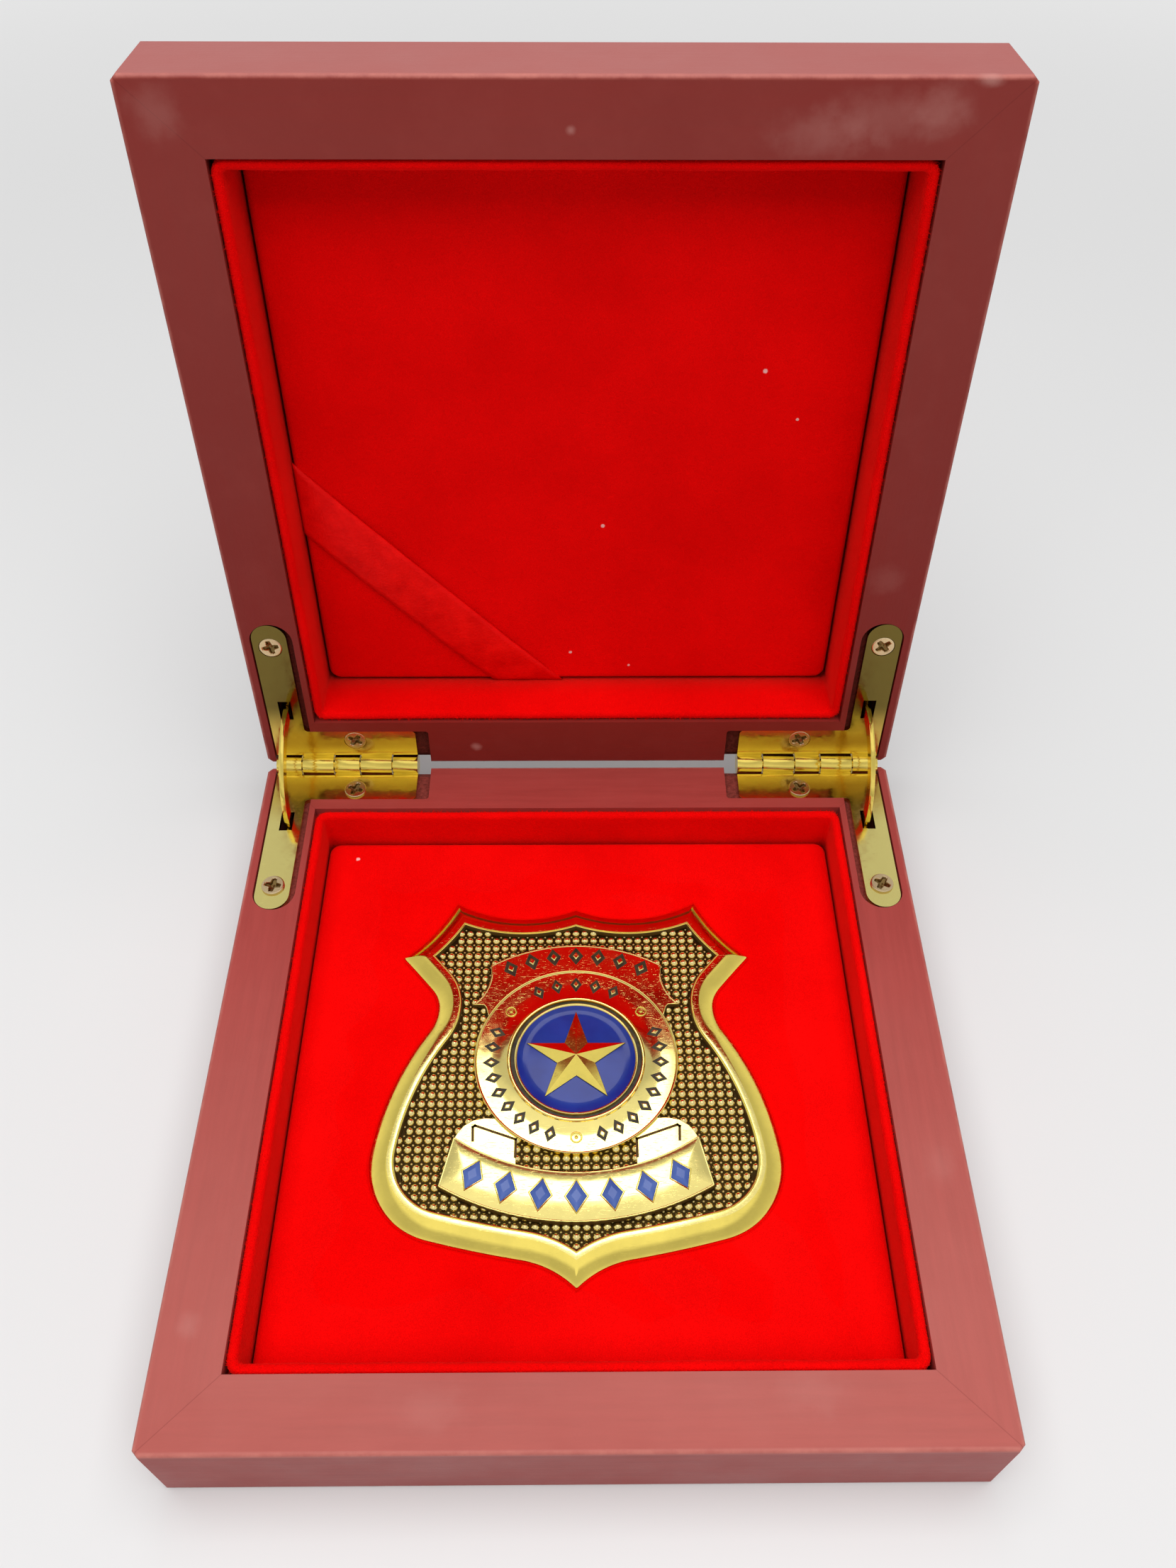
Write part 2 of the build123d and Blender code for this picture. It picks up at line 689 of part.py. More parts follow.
os.makedirs("parts", exist_ok=True)
for half, panel_name in (("base", "base_bottom_panel"), ("lid", "lid_top_panel")):
    rails(half)
    panel(half, panel_name)
    lining_band(half)
    pad(half)
    hinge_screws(half)
lid_ribbon()
for side_name, base_side, base_carries_odd in (("left", left_side["base"], True), ("right", -left_side["base"], False)):
    hinge_leaf(f"{side_name}_base_leaf", "base", base_side, base_carries_odd)
    hinge_leaf(f"{side_name}_lid_leaf", "lid", -base_side, not base_carries_odd)
    hinge_pin(f"{side_name}_hinge_pin", "base", base_side)
    stay(f"{side_name}_stay", base_side)
badge_shield()
badge_enamel()
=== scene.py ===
import math
import random

import bmesh
import bpy
from mathutils import Matrix, Vector, noise


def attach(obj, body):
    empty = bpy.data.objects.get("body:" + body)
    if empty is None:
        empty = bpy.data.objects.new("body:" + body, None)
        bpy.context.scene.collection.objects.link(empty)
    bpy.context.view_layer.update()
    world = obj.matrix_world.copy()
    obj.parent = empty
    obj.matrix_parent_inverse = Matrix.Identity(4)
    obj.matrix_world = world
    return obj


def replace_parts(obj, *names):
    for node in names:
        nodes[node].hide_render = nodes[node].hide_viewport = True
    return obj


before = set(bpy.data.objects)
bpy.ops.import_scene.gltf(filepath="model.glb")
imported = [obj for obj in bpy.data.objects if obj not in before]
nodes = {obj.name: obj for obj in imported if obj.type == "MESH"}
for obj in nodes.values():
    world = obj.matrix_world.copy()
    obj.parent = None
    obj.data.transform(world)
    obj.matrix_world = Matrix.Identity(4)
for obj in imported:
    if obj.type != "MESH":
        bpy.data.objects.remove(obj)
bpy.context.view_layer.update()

# Badge display case: a wooden box with an open lid, lined with velvet, and a shield badge on its pad.
# Lengths below are in millimetres and are turned into metres where a mesh is made.
MM = 0.001

# ------ sizes, as in the part's source
CASE_WIDTH, CASE_DEPTH = 120.0, 121.9
BASE_HEIGHT, LID_HEIGHT, RAIL_WIDTH = 18.0, 15.0, 10.4
RIM = 0.15  # from the hinges' axis to either rim
SETBACK = 0.45  # from the axis to the rear faces
AXIS_Y, AXIS_Z = CASE_DEPTH / 2 + SETBACK, BASE_HEIGHT + RIM
OPENING = (CASE_WIDTH - 2 * RAIL_WIDTH, CASE_DEPTH - 2 * RAIL_WIDTH)
PANEL = 3.0
MID_DEPTH = SETBACK + CASE_DEPTH / 2
WELLS = {"base": 8.0, "lid": 10.3}
HEIGHTS = {"base": BASE_HEIGHT, "lid": LID_HEIGHT}
BAND_GAP, BAND_THICKNESS, BAND_DROP, BAND_RADIUS = 0.1, 1.7, 0.4, 2.3
PAD_INSET, PAD_RADIUS, PAD_ROLL = 2.0, 2.2, 1.1
LID_OPEN = math.radians(95.0)
BADGE_X, BADGE_Y, BADGE_Z = -0.4, 1.15, 10.1


def half_axes(half):
    """The directions that run from the hinge to the front edge, and from the rim into the wood."""
    if half == "base":
        return Vector((0, -1, 0)), Vector((0, 0, -1))
    return Vector((0, -math.cos(LID_OPEN), math.sin(LID_OPEN))), Vector((0, math.sin(LID_OPEN), math.cos(LID_OPEN)))


def half_point(half, x, y, z):
    """A point of the base or lid: x to the right, y from the hinge to the front edge, z from the rim into the wood."""
    if half == "base":
        return Vector((x, AXIS_Y - y, AXIS_Z - z))
    along, inward = half_axes(half)
    return Vector((x, AXIS_Y, AXIS_Z)) + along * y + inward * z


def polar(radius, degrees):
    turned = math.radians(degrees)
    return radius * math.cos(turned), radius * math.sin(turned)


def placed(name, data):
    """A new object in the scene."""
    made = bpy.data.objects.new(name, data)
    bpy.context.scene.collection.objects.link(made)
    return made


# ------ camera
FOCAL_PIXELS, LONG_SIDE, SENSOR = 1828.817, 2212, 36.0
CAMERA_PLACE = (-0.1140, -104.8566, 207.7868)
YAW, PITCH, ROLL = -0.74252, -49.62890, 0.40700
camera_data = bpy.data.cameras.new("camera")
camera_data.sensor_width = SENSOR
camera_data.lens = FOCAL_PIXELS * SENSOR / LONG_SIDE
camera_data.clip_start = 0.01
camera_data.clip_end = 20
camera = placed("camera", camera_data)
turned = (
    Matrix.Rotation(math.radians(YAW), 4, "Z")
    @ Matrix.Rotation(math.radians(90 + PITCH), 4, "X")
    @ Matrix.Rotation(math.radians(ROLL), 4, "Z")
)
camera.matrix_world = Matrix.Translation(Vector(CAMERA_PLACE) * MM) @ turned
bpy.context.scene.camera = camera


# ------ materials
class Nodes:
    """Short ways to add nodes to a tree. A value is a number, a colour, a vector or another node's output."""

    def __init__(self, tree):
        self.tree = tree

    def feed(self, socket, value):
        if isinstance(value, bpy.types.NodeSocket):
            self.tree.links.new(value, socket)
        elif socket.type == "RGBA" and len(value) == 3:
            socket.default_value = (*value, 1)
        else:
            socket.default_value = value

    def node(self, kind, *values, **named):
        """A node with values for its first inputs, and for others by name."""
        made = self.tree.nodes.new("ShaderNode" + kind)
        for socket, value in zip(made.inputs, values):
            self.feed(socket, value)
        for key, value in named.items():
            self.feed(made.inputs[key], value)
        return made

    def ramp(self, factor, *stops):
        """Stops are (position, colour), or (position, level) for a grey."""
        made = self.node("ValToRGB", factor)
        elements = made.color_ramp.elements
        while len(elements) < len(stops):
            elements.new(1.0)
        for element, (position, color) in zip(elements, stops):
            element.position = position
            element.color = (*color, 1) if isinstance(color, tuple) else (color, color, color, 1)
        return made.outputs["Color"]

    def mix(self, factor, a, b):
        made = self.node("Mix", factor)
        made.data_type = "RGBA"
        self.feed(made.inputs[6], a)
        self.feed(made.inputs[7], b)
        return made.outputs[2]

    def math(self, operation, *values):
        made = self.node("Math", *values)
        made.operation = operation
        return made.outputs[0]

    def times(self, first, *others):
        for other in others:
            first = self.math("MULTIPLY", first, other)
        return first

    def less(self, a, b):
        return self.math("SUBTRACT", a, b)

    def vector_math(self, operation, *values):
        made = self.node("VectorMath", *values)
        made.operation = operation
        return made.outputs["Value" if operation in ("LENGTH", "DOT_PRODUCT") else "Vector"]

    def step(self, value, low, high, start=0.0, end=1.0):
        """start below low, end above high, smooth between."""
        made = self.node("MapRange", value, low, high, start, end)
        made.interpolation_type = "SMOOTHSTEP"
        return made.outputs[0]

    def fall(self, value, low, high):
        """1 below low, 0 above high."""
        return self.less(1.0, self.step(value, low, high))

    def between(self, value, low, high, soft=0.05):
        return self.times(self.step(value, low - soft, low), self.fall(value, high, high + soft))


class Shader(Nodes):
    """A material with a Principled shader."""

    def __init__(self, name, **constants):
        self.material = bpy.data.materials.new(name)
        self.material.use_nodes = True
        super().__init__(self.material.node_tree)
        self.bsdf = self.tree.nodes["Principled BSDF"]
        for key, value in constants.items():
            self.set(key.replace("_", " "), value)
        self.coords = self.node("TexCoord").outputs["Object"]

    def set(self, key, value):
        self.feed(self.bsdf.inputs[key], value)

    def noise(self, scale, detail=3.0, roughness=0.5, stretch=None):
        vector = self.node("Mapping", self.coords, Scale=stretch).outputs[0] if stretch else self.coords
        return self.node("TexNoise", vector, Scale=scale, Detail=detail, Roughness=roughness).outputs["Fac"]

    def bump(self, height, distance, strength=1.0, normal=None):
        made = self.node("Bump", Height=height, Strength=strength, Distance=distance)
        if normal is not None:
            self.feed(made.inputs["Normal"], normal)
        return made.outputs[0]

    def spot(self, centre, radius, soft, rough, scale, stretch=(1, 1, 1)):
        """1 within radius of a point given in millimetres, falling to 0 outside, with an uneven edge."""
        offset = self.vector_math("SUBTRACT", self.coords, Vector(centre) * MM)
        length = self.vector_math("LENGTH", self.vector_math("MULTIPLY", offset, stretch))
        share = self.math("DIVIDE", length, radius * MM)
        share = self.math("ADD", share, self.times(self.less(self.noise(scale), 0.5), rough))
        return self.step(share, 1 - soft, 1 + soft, 1, 0)

    def half_coordinates(self, half):
        """Sockets in millimetres for a half's own x, y from the hinge, and depth from the rim's level."""
        offset = self.vector_math("SUBTRACT", self.coords, Vector((0, AXIS_Y, AXIS_Z)) * MM)
        axes = (Vector((1, 0, 0)), *half_axes(half))
        return [self.vector_math("DOT_PRODUCT", offset, axis / MM) for axis in axes]


# each half's paint, darker and lighter, its shine, its share of painted sheen, and the torn wood of its recesses
PAINTS = {
    "base": ((0.310, 0.040, 0.033), (0.345, 0.050, 0.043), 0.4, 1.0, (0.09, 0.016, 0.012), (0.30, 0.060, 0.045)),
    # the lid's paint and torn wood are darker copies of the base's: painted shade
    "lid": ((0.205, 0.016, 0.012), (0.230, 0.021, 0.016), 0.22, 0.2, (0.05, 0.009, 0.006), (0.15, 0.028, 0.018)),
}
HINGE_OUTER, HINGE_INNER, ARM_INNER, ARM_END, PLATE_END = 58.2, 28.5, 50.8, 34.3, 8.5


def painted_wood(name, half, stretch, scuffs):
    """Rosewood-red paint, matte, over wood whose grain runs along one axis. Its eased edges and scuffs are paler, the
    rim takes a painted sheen, the mitres show as fine lines, and the recesses cut for the hinges are bare and rough,
    darkened with painted shade."""
    dark, light, shine, painted_sheen_share, torn_shaded_dark, torn_shaded_light = PAINTS[half]
    s = Shader(name, Specular_IOR_Level=shine)
    x, y, depth = s.half_coordinates(half)
    across = s.math("ABSOLUTE", x)
    grain = s.noise(1.0, 4, 0.65, stretch)
    base = s.ramp(s.noise(22, 4, 0.6), (0.3, dark), (0.75, light))
    base = s.mix(s.ramp(grain, (0.35, 0.0), (0.7, 0.3)), base, (0.20, 0.022, 0.017))
    base = s.mix(s.ramp(s.noise(160, 3, 0.6), (0.5, 0.0), (0.8, 0.05)), base, (0.48, 0.12, 0.10))
    # a painted sheen pales the rim, most towards the front
    painted_sheen = s.times(s.step(y, 20.0, 120.0), s.fall(depth, 0.4, 1.4))
    painted_sheen = s.times(painted_sheen, s.math("ADD", 0.24, s.times(s.noise(35, 4, 0.6), 0.3)), painted_sheen_share, 0.7)
    base = s.mix(painted_sheen, base, (0.64, 0.24, 0.20))
    # eased edges, where the paint is rubbed
    side = s.less(CASE_WIDTH / 2, across)
    rear, fore = s.less(y, SETBACK), s.less(SETBACK + CASE_DEPTH, y)
    if half == "lid":
        # the edge that stands up when the case is open is paler: a painted sheen of the light it faces
        base = s.mix(s.times(s.fall(fore, 0.05, 0.5), 0.35), base, (0.62, 0.26, 0.24))
    outer = s.math("MINIMUM", side, s.math("MINIMUM", rear, fore))
    squares = [s.math("POWER", reach, 2.0) for reach in (outer, s.less(depth, RIM))]
    worn = s.fall(s.math("SQRT", s.math("ADD", *squares)), 0.25, 0.75)
    worn = s.times(worn, s.ramp(s.noise(240, 4, 0.7), (0.35, 0.1), (0.7, 0.6)))
    base = s.mix(worn, base, (0.58, 0.20, 0.16))
    # the mitres
    for far in (rear, fore):
        seam = s.fall(s.math("ABSOLUTE", s.less(side, far)), 0.02, 0.14)
        base = s.mix(s.times(seam, 0.35), base, (0.12, 0.012, 0.010))
    for centre, radius, strength, stretched in scuffs:
        spot = s.spot(half_point(half, *centre, RIM), radius, 0.9, 1.6, 420.0, stretched)
        base = s.mix(s.times(spot, 0.7 * strength), base, (0.52, 0.24, 0.21))
    # bare wood in the hinge recesses, darkened with painted shade
    arm, plate = (
        s.times(s.between(across, inner, HINGE_OUTER), s.between(y, SETBACK + 0.1, end))
        for inner, end in ((ARM_INNER, ARM_END), (HINGE_INNER, PLATE_END))
    )
    cut = s.times(s.math("MAXIMUM", arm, plate), s.between(depth, 0.32, 9.0, 0.12))
    fibres = s.noise(1.0, 5, 0.7, (1500, 1500, 1500))
    base = s.mix(s.times(cut, 0.85), base, s.ramp(fibres, (0.3, torn_shaded_dark), (0.7, torn_shaded_light)))
    s.set("Base Color", base)
    dull = s.ramp(s.noise(60, 4, 0.6), (0.3, 0.44), (0.7, 0.58))
    s.set("Roughness", s.mix(cut, dull, (0.9, 0.9, 0.9)))
    fine = s.bump(s.noise(2600, 3, 0.6), 0.00006, 0.35)
    torn = s.bump(s.times(fibres, cut), 0.0006, 0.9, fine)
    s.set("Normal", s.bump(grain, 0.00012, 0.25, torn))
    return s.material


def velvet(name, dark, light, lint):
    """Short red pile with a nap that turns in soft patches, and specks of lint."""
    sheen = {"Sheen_Weight": 0.35, "Sheen_Roughness": 0.35, "Sheen_Tint": (1.0, 0.05, 0.03)}
    s = Shader(name, Roughness=0.9, Specular_IOR_Level=0.08, **sheen)
    pile = s.noise(5200, 2, 0.7)
    base = s.ramp(s.noise(45, 4, 0.6), (0.3, dark), (0.7, light))
    base = s.mix(s.ramp(pile, (0.3, 0.28), (0.7, 0.0)), base, (0.35, 0.0, 0.0))
    for place, radius in lint:
        base = s.mix(s.times(s.spot(half_point(*place), radius, 0.3, 0.9, 1800.0), 0.75), base, (0.95, 0.62, 0.58))
    s.set("Base Color", base)
    s.set("Normal", s.bump(s.noise(1500, 3, 0.6), 0.0003, 0.4, s.bump(pile, 0.00025, 0.6)))
    return s.material


def gold(name, color=(0.97, 0.75, 0.16), rough=(0.09, 0.22), wave=0.00012, scratch=True, arm=None):
    """Gold plate on a hand-polished blank. On a leaf, beyond its bend, darker patches are a painted reflection, and the
    arm, away from the knuckles, takes the colour in arm, painted shade on the lid's leaf: arm is (half, color).
    """
    s = Shader(name, Metallic=1.0)
    tone = s.ramp(s.noise(140, 4, 0.6), (0.35, tuple(0.86 * c for c in color)), (0.65, color))
    if arm:
        inward = s.half_coordinates(arm[0])[1]
        # painted reflection: darker patches on the leaf beyond its bend
        painted_reflection = s.times(s.step(inward, 3.2, 5.5), s.ramp(s.noise(70, 4, 0.6), (0.3, 0.2), (0.65, 0.75)))
        tone = s.mix(painted_reflection, tone, (0.52, 0.33, 0.07))
        tone = s.mix(s.step(inward, 7.0, 15.0), tone, arm[1])
    s.set("Base Color", tone)
    s.set("Roughness", s.ramp(s.noise(420, 4, 0.65), (0.3, rough[0]), (0.75, rough[1])))
    normal = s.bump(s.noise(260, 2, 0.5), wave, 0.6)
    if scratch:
        lines = s.noise(1.0, 3, 0.6, (900, 9000, 4000))
        normal = s.bump(s.ramp(lines, (0.62, 0.0), (0.72, 1.0)), 0.00001, 0.35, normal)
    s.set("Normal", normal)
    return s.material


def enamel(name, dark, light):
    """Glassy enamel under a clear surface."""
    s = Shader(name, Roughness=0.25, Specular_IOR_Level=0.1, Coat_Weight=0.45, Coat_Roughness=0.05)
    s.set("Base Color", s.ramp(s.noise(170, 3, 0.5), (0.3, dark), (0.75, light)))
    s.set("Normal", s.bump(s.noise(500, 2, 0.5), 0.00006, 0.4))
    return s.material


def black_fill():
    s = Shader("black_fill", Roughness=0.35, Specular_IOR_Level=0.4)
    s.set("Base Color", s.ramp(s.noise(900, 3), (0.3, (0.010, 0.008, 0.004)), (0.7, (0.045, 0.034, 0.014))))
    return s.material


def bead_gold():
    """Paler at the crown of each bead, a painted highlight; dark at its foot with antiquing and painted shade between
    the beads.
    """
    s = Shader("bead_gold", Metallic=1.0)
    height = s.node("SeparateXYZ", s.coords).outputs["Z"]
    share = s.node("MapRange", height, (BADGE_Z + 1.15) * MM, (BADGE_Z + 1.70) * MM).outputs[0]
    uneven = s.math("ADD", share, s.times(s.less(s.noise(900, 3), 0.5), 0.5))
    foot, flank, crown = (0.030, 0.019, 0.006), (0.50, 0.37, 0.11), (0.98, 0.82, 0.34)
    s.set("Base Color", s.ramp(uneven, (0.01, foot), (0.10, flank), (0.34, crown)))
    s.set("Roughness", s.ramp(uneven, (0.1, 0.45), (0.7, 0.14)))
    return s.material


# scuffs: place, radius, strength, squash along each axis
SCUFFS = {
    "lid": [
        ((-54.8, 117.6), 2.6, 0.28, (1, 1, 1)),
        ((32.6, 115.1), 3.2, 0.30, (0.6, 1, 1.5)),
        ((40.7, 117.3), 3.6, 0.26, (0.6, 1, 1.4)),
        ((48.0, 118.2), 2.4, 0.34, (0.8, 1, 1)),
        ((53.5, 121.9), 0.8, 0.9, (0.6, 1, 1)),
        ((-19.4, 4.6), 0.7, 0.75, (1, 1, 1)),
        ((-0.7, 115.7), 0.45, 0.7, (1, 1, 1)),
        ((53.0, 43.1), 2.2, 0.16, (1, 1, 1)),
    ],
    "base": [
        ((-55.4, 105.4), 1.3, 0.3, (1, 1, 1)),
        ((32.4, 114.4), 2.5, 0.2, (0.7, 1, 1)),
        ((-20.0, 117.0), 2.2, 0.18, (0.6, 1, 1)),
        ((55.6, 82.0), 1.8, 0.18, (1, 0.7, 1)),
    ],
}
# the grain runs along the axis whose scale is low
WOODS = {
    (half, place): painted_wood(f"painted_wood_{half}_{way}", half, stretch, SCUFFS[half])
    for half, place, way, stretch in (
        ("base", "front", "across", (55, 900, 900)),
        ("base", "side", "deep", (900, 55, 900)),
        ("lid", "front", "across", (55, 900, 900)),
        ("lid", "side", "high", (900, 900, 55)),
    )
}
# specks of lint: half and place on it, radius
LINT = [
    (("lid", 30.0, 76.5, 10.4), 0.35),
    (("lid", 36.1, 68.0, 10.4), 0.25),
    (("lid", 4.5, 47.6, 10.4), 0.32),
    (("lid", -1.3, 19.5, 10.4), 0.3),
    (("lid", 9.8, 16.3, 10.4), 0.25),
    (("base", -41.9, 16.8, 8.1), 0.35),
]
VELVET = velvet("velvet", (0.80, 0.0, 0.0), (0.97, 0.001, 0.001), LINT)
PILE = Shader("velvet_pile", Base_Color=(0.85, 0.004, 0.002), Roughness=0.9, Specular_IOR_Level=0.1).material
GOLD = gold("gold_plate")
BADGE_GOLD = gold("badge_gold", (0.98, 0.78, 0.16), (0.06, 0.15), 0.00003)
# a paler copy of the badge's gold for its flat faces: a painted highlight
PAINTED_HIGHLIGHT_GOLD = gold("painted_highlight_gold", (1.0, 0.84, 0.28), (0.06, 0.15), 0.00003)
ANTIQUE = gold("antique_field", (0.055, 0.033, 0.010), (0.35, 0.55), 0.00003, scratch=False)
LINE = Shader("antiqued_line", Base_Color=(0.07, 0.035, 0.006), Roughness=0.5, Specular_IOR_Level=0.3).material
LEAF_GOLD = {
    # the dark arm of the lid's leaf is painted shade
    "base": gold("gold_plate_base_leaf", arm=("base", (0.90, 0.78, 0.27))),
    "lid": gold("gold_plate_lid_leaf", arm=("lid", (0.17, 0.125, 0.03))),
}
SCREW_METAL = gold("screw_metal", (0.78, 0.60, 0.34), (0.24, 0.32), 0.00001, scratch=False)
# darker metal for the deep faces of the screws' cross recesses: painted shade
PAINTED_RECESS_SHADE = gold("screw_recess_painted_shade", (0.26, 0.17, 0.06), (0.3, 0.4), 0.00001, scratch=False)
BLACK = black_fill()
BEAD_GOLD = bead_gold()
ENAMEL = enamel("enamel", (0.003, 0.014, 0.17), (0.009, 0.032, 0.26))
BANNER_ENAMEL = enamel("banner_enamel", (0.045, 0.09, 0.32), (0.08, 0.14, 0.40))


def dress(node, material):
    nodes[node].data.materials.clear()
    nodes[node].data.materials.append(material)


def ease(made, width, angle):
    """Bevel the edges that are sharper than an angle."""
    bevel = made.modifiers.new("bevel", "BEVEL")
    bevel.width = width * MM
    bevel.segments = 2
    bevel.limit_method = "ANGLE"
    bevel.angle_limit = math.radians(angle)
    bevel.harden_normals = True


def soften(node):
    """Ease a metal node's sharp edges."""
    weld = nodes[node].modifiers.new("weld", "WELD")
    weld.merge_threshold = 1e-6
    ease(nodes[node], 0.1, 35.0)


for half in ("base", "lid"):
    for place in ("front", "rear", "left", "right"):
        dress(f"{half}_{place}_rail", WOODS[half, "front" if place in ("front", "rear") else "side"])
    for side in ("left", "right"):
        dress(f"{side}_{half}_leaf", LEAF_GOLD[half])
        soften(f"{side}_{half}_leaf")
dress("base_bottom_panel", WOODS["base", "front"])
dress("lid_top_panel", WOODS["lid", "front"])
for name in ("left_hinge_pin", "right_hinge_pin", "left_stay", "right_stay"):
    dress(name, GOLD)
    soften(name)


# ------ mesh helpers
def around(count):
    """Cosine and sine at even steps round a circle."""
    return [(math.cos(2 * math.pi * k / count), math.sin(2 * math.pi * k / count)) for k in range(count)]


def mesh_object(name, points, faces, material, smooth=False):
    """A mesh object from points in millimetres."""
    mesh = bpy.data.meshes.new(name)
    mesh.from_pydata([tuple(c * MM for c in p) for p in points], [], faces)
    mesh.validate()
    mesh.update()
    if smooth:
        mesh.shade_smooth()
    mesh.materials.append(material)
    return placed(name, mesh)


def piece(name, points, faces, body, material, smooth=True):
    """A mesh object riding on a body."""
    made = mesh_object(name, points, faces, material, smooth)
    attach(made, body)
    return made


def lining_ring(gap, inset, radius, per_side):
    """Stations round the opening, drawn in by a gap and an inset: point and outward direction, evenly matched whatever
    the radius."""
    half_width, sunk = (side / 2 - gap - inset for side in OPENING)
    arcs = []
    for sx, sy, start in ((1, 1, 0), (-1, 1, 90), (-1, -1, 180), (1, -1, 270)):
        centre = Vector((sx * (half_width - radius), sy * (sunk - radius)))
        outs = [Vector(polar(1, start + 90 * step / 6)) for step in range(7)]
        arcs.append([(centre + out * radius, out) for out in outs])
    stations = []
    for arc, following in pairs(arcs):
        begin, (end, out) = arc[-1][0], following[0]
        stations += arc + [(begin.lerp(end, step / per_side), out) for step in range(1, per_side)]
    return stations


def pairs(ring):
    """Each item of a ring with the next."""
    return list(zip(ring, ring[1:] + ring[:1]))


def flat(loops):
    return [point for loop in loops for point in loop]


def bridge(loops, wrap=False):
    """Quads between successive closed loops of equal length, and from the last to the first if wrap."""
    count = len(loops[0])
    total = count * len(loops)
    faces = []
    for offset in range(0, total if wrap else total - count, count):
        for k in range(count):
            a, b = offset + k, offset + (k + 1) % count
            faces.append((a, b, (b + count) % total, (a + count) % total))
    return faces


def capped(loops):
    """Quads between successive closed loops, and a face at both ends."""
    count, total = len(loops[0]), len(loops[0]) * len(loops)
    return bridge(loops) + [tuple(range(total - count, total)), tuple(range(count))[::-1]]


def sharp(made, angle):
    made.data.set_sharp_from_angle(angle=math.radians(angle))
    return made


# ------ velvet pads and bands
def velvet_pad(half):
    """The pad: a crowned velvet face, rolled over at its edge."""
    top, bottom = RIM + WELLS[half], RIM + HEIGHTS[half] - PANEL
    seed = 7.0 if half == "lid" else 0.0
    rings = [(0.0, bottom), (0.0, top + PAD_ROLL)]
    for step in range(1, 7):
        c, s = polar(1, 90 * step / 6)
        rings.append((PAD_ROLL * (1 - c), top + PAD_ROLL * (1 - s)))
    rings += [(PAD_ROLL + step, None) for step in (0.5, 1.5, 3.5, 7, 12, 18, 25, 33, 40)]
    loops = []
    for inset, depth in rings:
        loop = []
        for at, _ in lining_ring(PAD_INSET, inset, max(PAD_RADIUS - inset, 0.6), 40):
            level = depth
            if level is None:
                crown = 0.06 * min(1.0, (inset - PAD_ROLL) / 6)
                level = top - crown + 0.05 * noise.noise(Vector((at.x, at.y, seed)) * 0.045)
            loop.append(half_point(half, at.x, MID_DEPTH - at.y, level))
        loops.append(loop)
    faces = capped(loops)
    if half == "lid":
        faces = [face[::-1] for face in faces]
    made = piece(f"{half}_velvet_pad", flat(loops), faces, half, VELVET)
    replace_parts(made, f"{half}_pad")


def velvet_band(half):
    """The strip bent round inside the rails: velvet over card, rounded along its edge."""
    top, bottom = RIM + BAND_DROP, RIM + HEIGHTS[half] - PANEL
    over = BAND_THICKNESS / 2
    seed = 3.0 if half == "lid" else 9.0
    section = [(0.0, bottom), (0.0, top + over + 3), (0.0, top + over)]
    for step in range(1, 8):
        c, s = polar(1, 180 * step / 8)
        section.append((over * (1 - c), top + over * (1 - s)))
    section += [(BAND_THICKNESS, level) for level in (top + over, top + 2.5, top + 5, bottom)]
    loops = []
    for inset, level in section:
        near_top = max(0.0, 1 - (level - top) / 4)
        loop = []
        for at, out in lining_ring(BAND_GAP, inset, max(BAND_RADIUS - inset * 0.9, 0.7), 64):
            lift = 0.16 * noise.noise(Vector((at.x, at.y, seed)) * 0.06)
            swell = 0.12 * noise.noise(Vector((at.x, at.y, level)) * 0.11)
            moved = at - out * (swell if inset > 0.3 else 0.0) * (0.4 + near_top)
            loop.append(half_point(half, moved.x, MID_DEPTH - moved.y, level + lift * near_top + 0.05))
        loops.append(loop)
    faces = bridge(loops, wrap=True)
    if half == "base":
        faces = [face[::-1] for face in faces]
    made = piece(f"{half}_velvet_band", flat(loops), faces, half, VELVET)
    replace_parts(made, f"{half}_lining_band")


def pile_fringe(half):
    """Loose fibres of the velvet, along the strip's edge."""
    fibres = 5200
    chance = random.Random(7 if half == "lid" else 8)
    crest = RIM + BAND_DROP
    stretches = pairs(lining_ring(BAND_GAP, 0.0, BAND_RADIUS, 64))
    points = []
    for _ in range(fibres):
        (a, out), (b, _) = stretches[chance.randrange(len(stretches))]
        inset = BAND_THICKNESS * chance.random() ** 1.6
        rise = math.sqrt(max(0.0, 1 - (2 * inset / BAND_THICKNESS - 1) ** 2)) * BAND_THICKNESS / 2
        foot = a.lerp(b, chance.random()) - out * inset
        level = crest + BAND_THICKNESS / 2 - rise + 0.12
        length = 0.22 + 0.4 * chance.random() ** 2
        lean = Vector((chance.uniform(-1, 1), chance.uniform(-1, 1))) * 0.7
        lean += out * chance.uniform(-0.1, 0.9) * (1 - inset / BAND_THICKNESS)
        side = Vector((-lean.y, lean.x)).normalized() * 0.035
        for at, down in ((foot + side, level), (foot - side, level), (foot + lean * length, level - length)):
            points.append(half_point(half, at.x, MID_DEPTH - at.y, down))
    faces = [(k, k + 1, k + 2) for k in range(0, 3 * fibres, 3)]
    piece(f"{half}_velvet_fibres", points, faces, half, PILE, smooth=False)


for half in ("base", "lid"):
    velvet_pad(half)
    velvet_band(half)
    pile_fringe(half)


# ------ ribbon
RIBBON_UP, RIBBON_ALONG, RIBBON_WIDTH, RIBBON_THICKNESS = 40.5, 38.5, 9.5, 0.35


def satin():
    s = Shader("satin", Roughness=0.5, Specular_IOR_Level=0.14)
    s.set("Base Color", s.ramp(s.noise(300, 4, 0.6), (0.3, (0.68, 0.0, 0.0)), (0.7, (0.88, 0.003, 0.002))))
    s.set("Normal", s.bump(s.noise(1.0, 2, 0.6, (2600, 500, 2600)), 0.0002, 0.5))
    return s.material


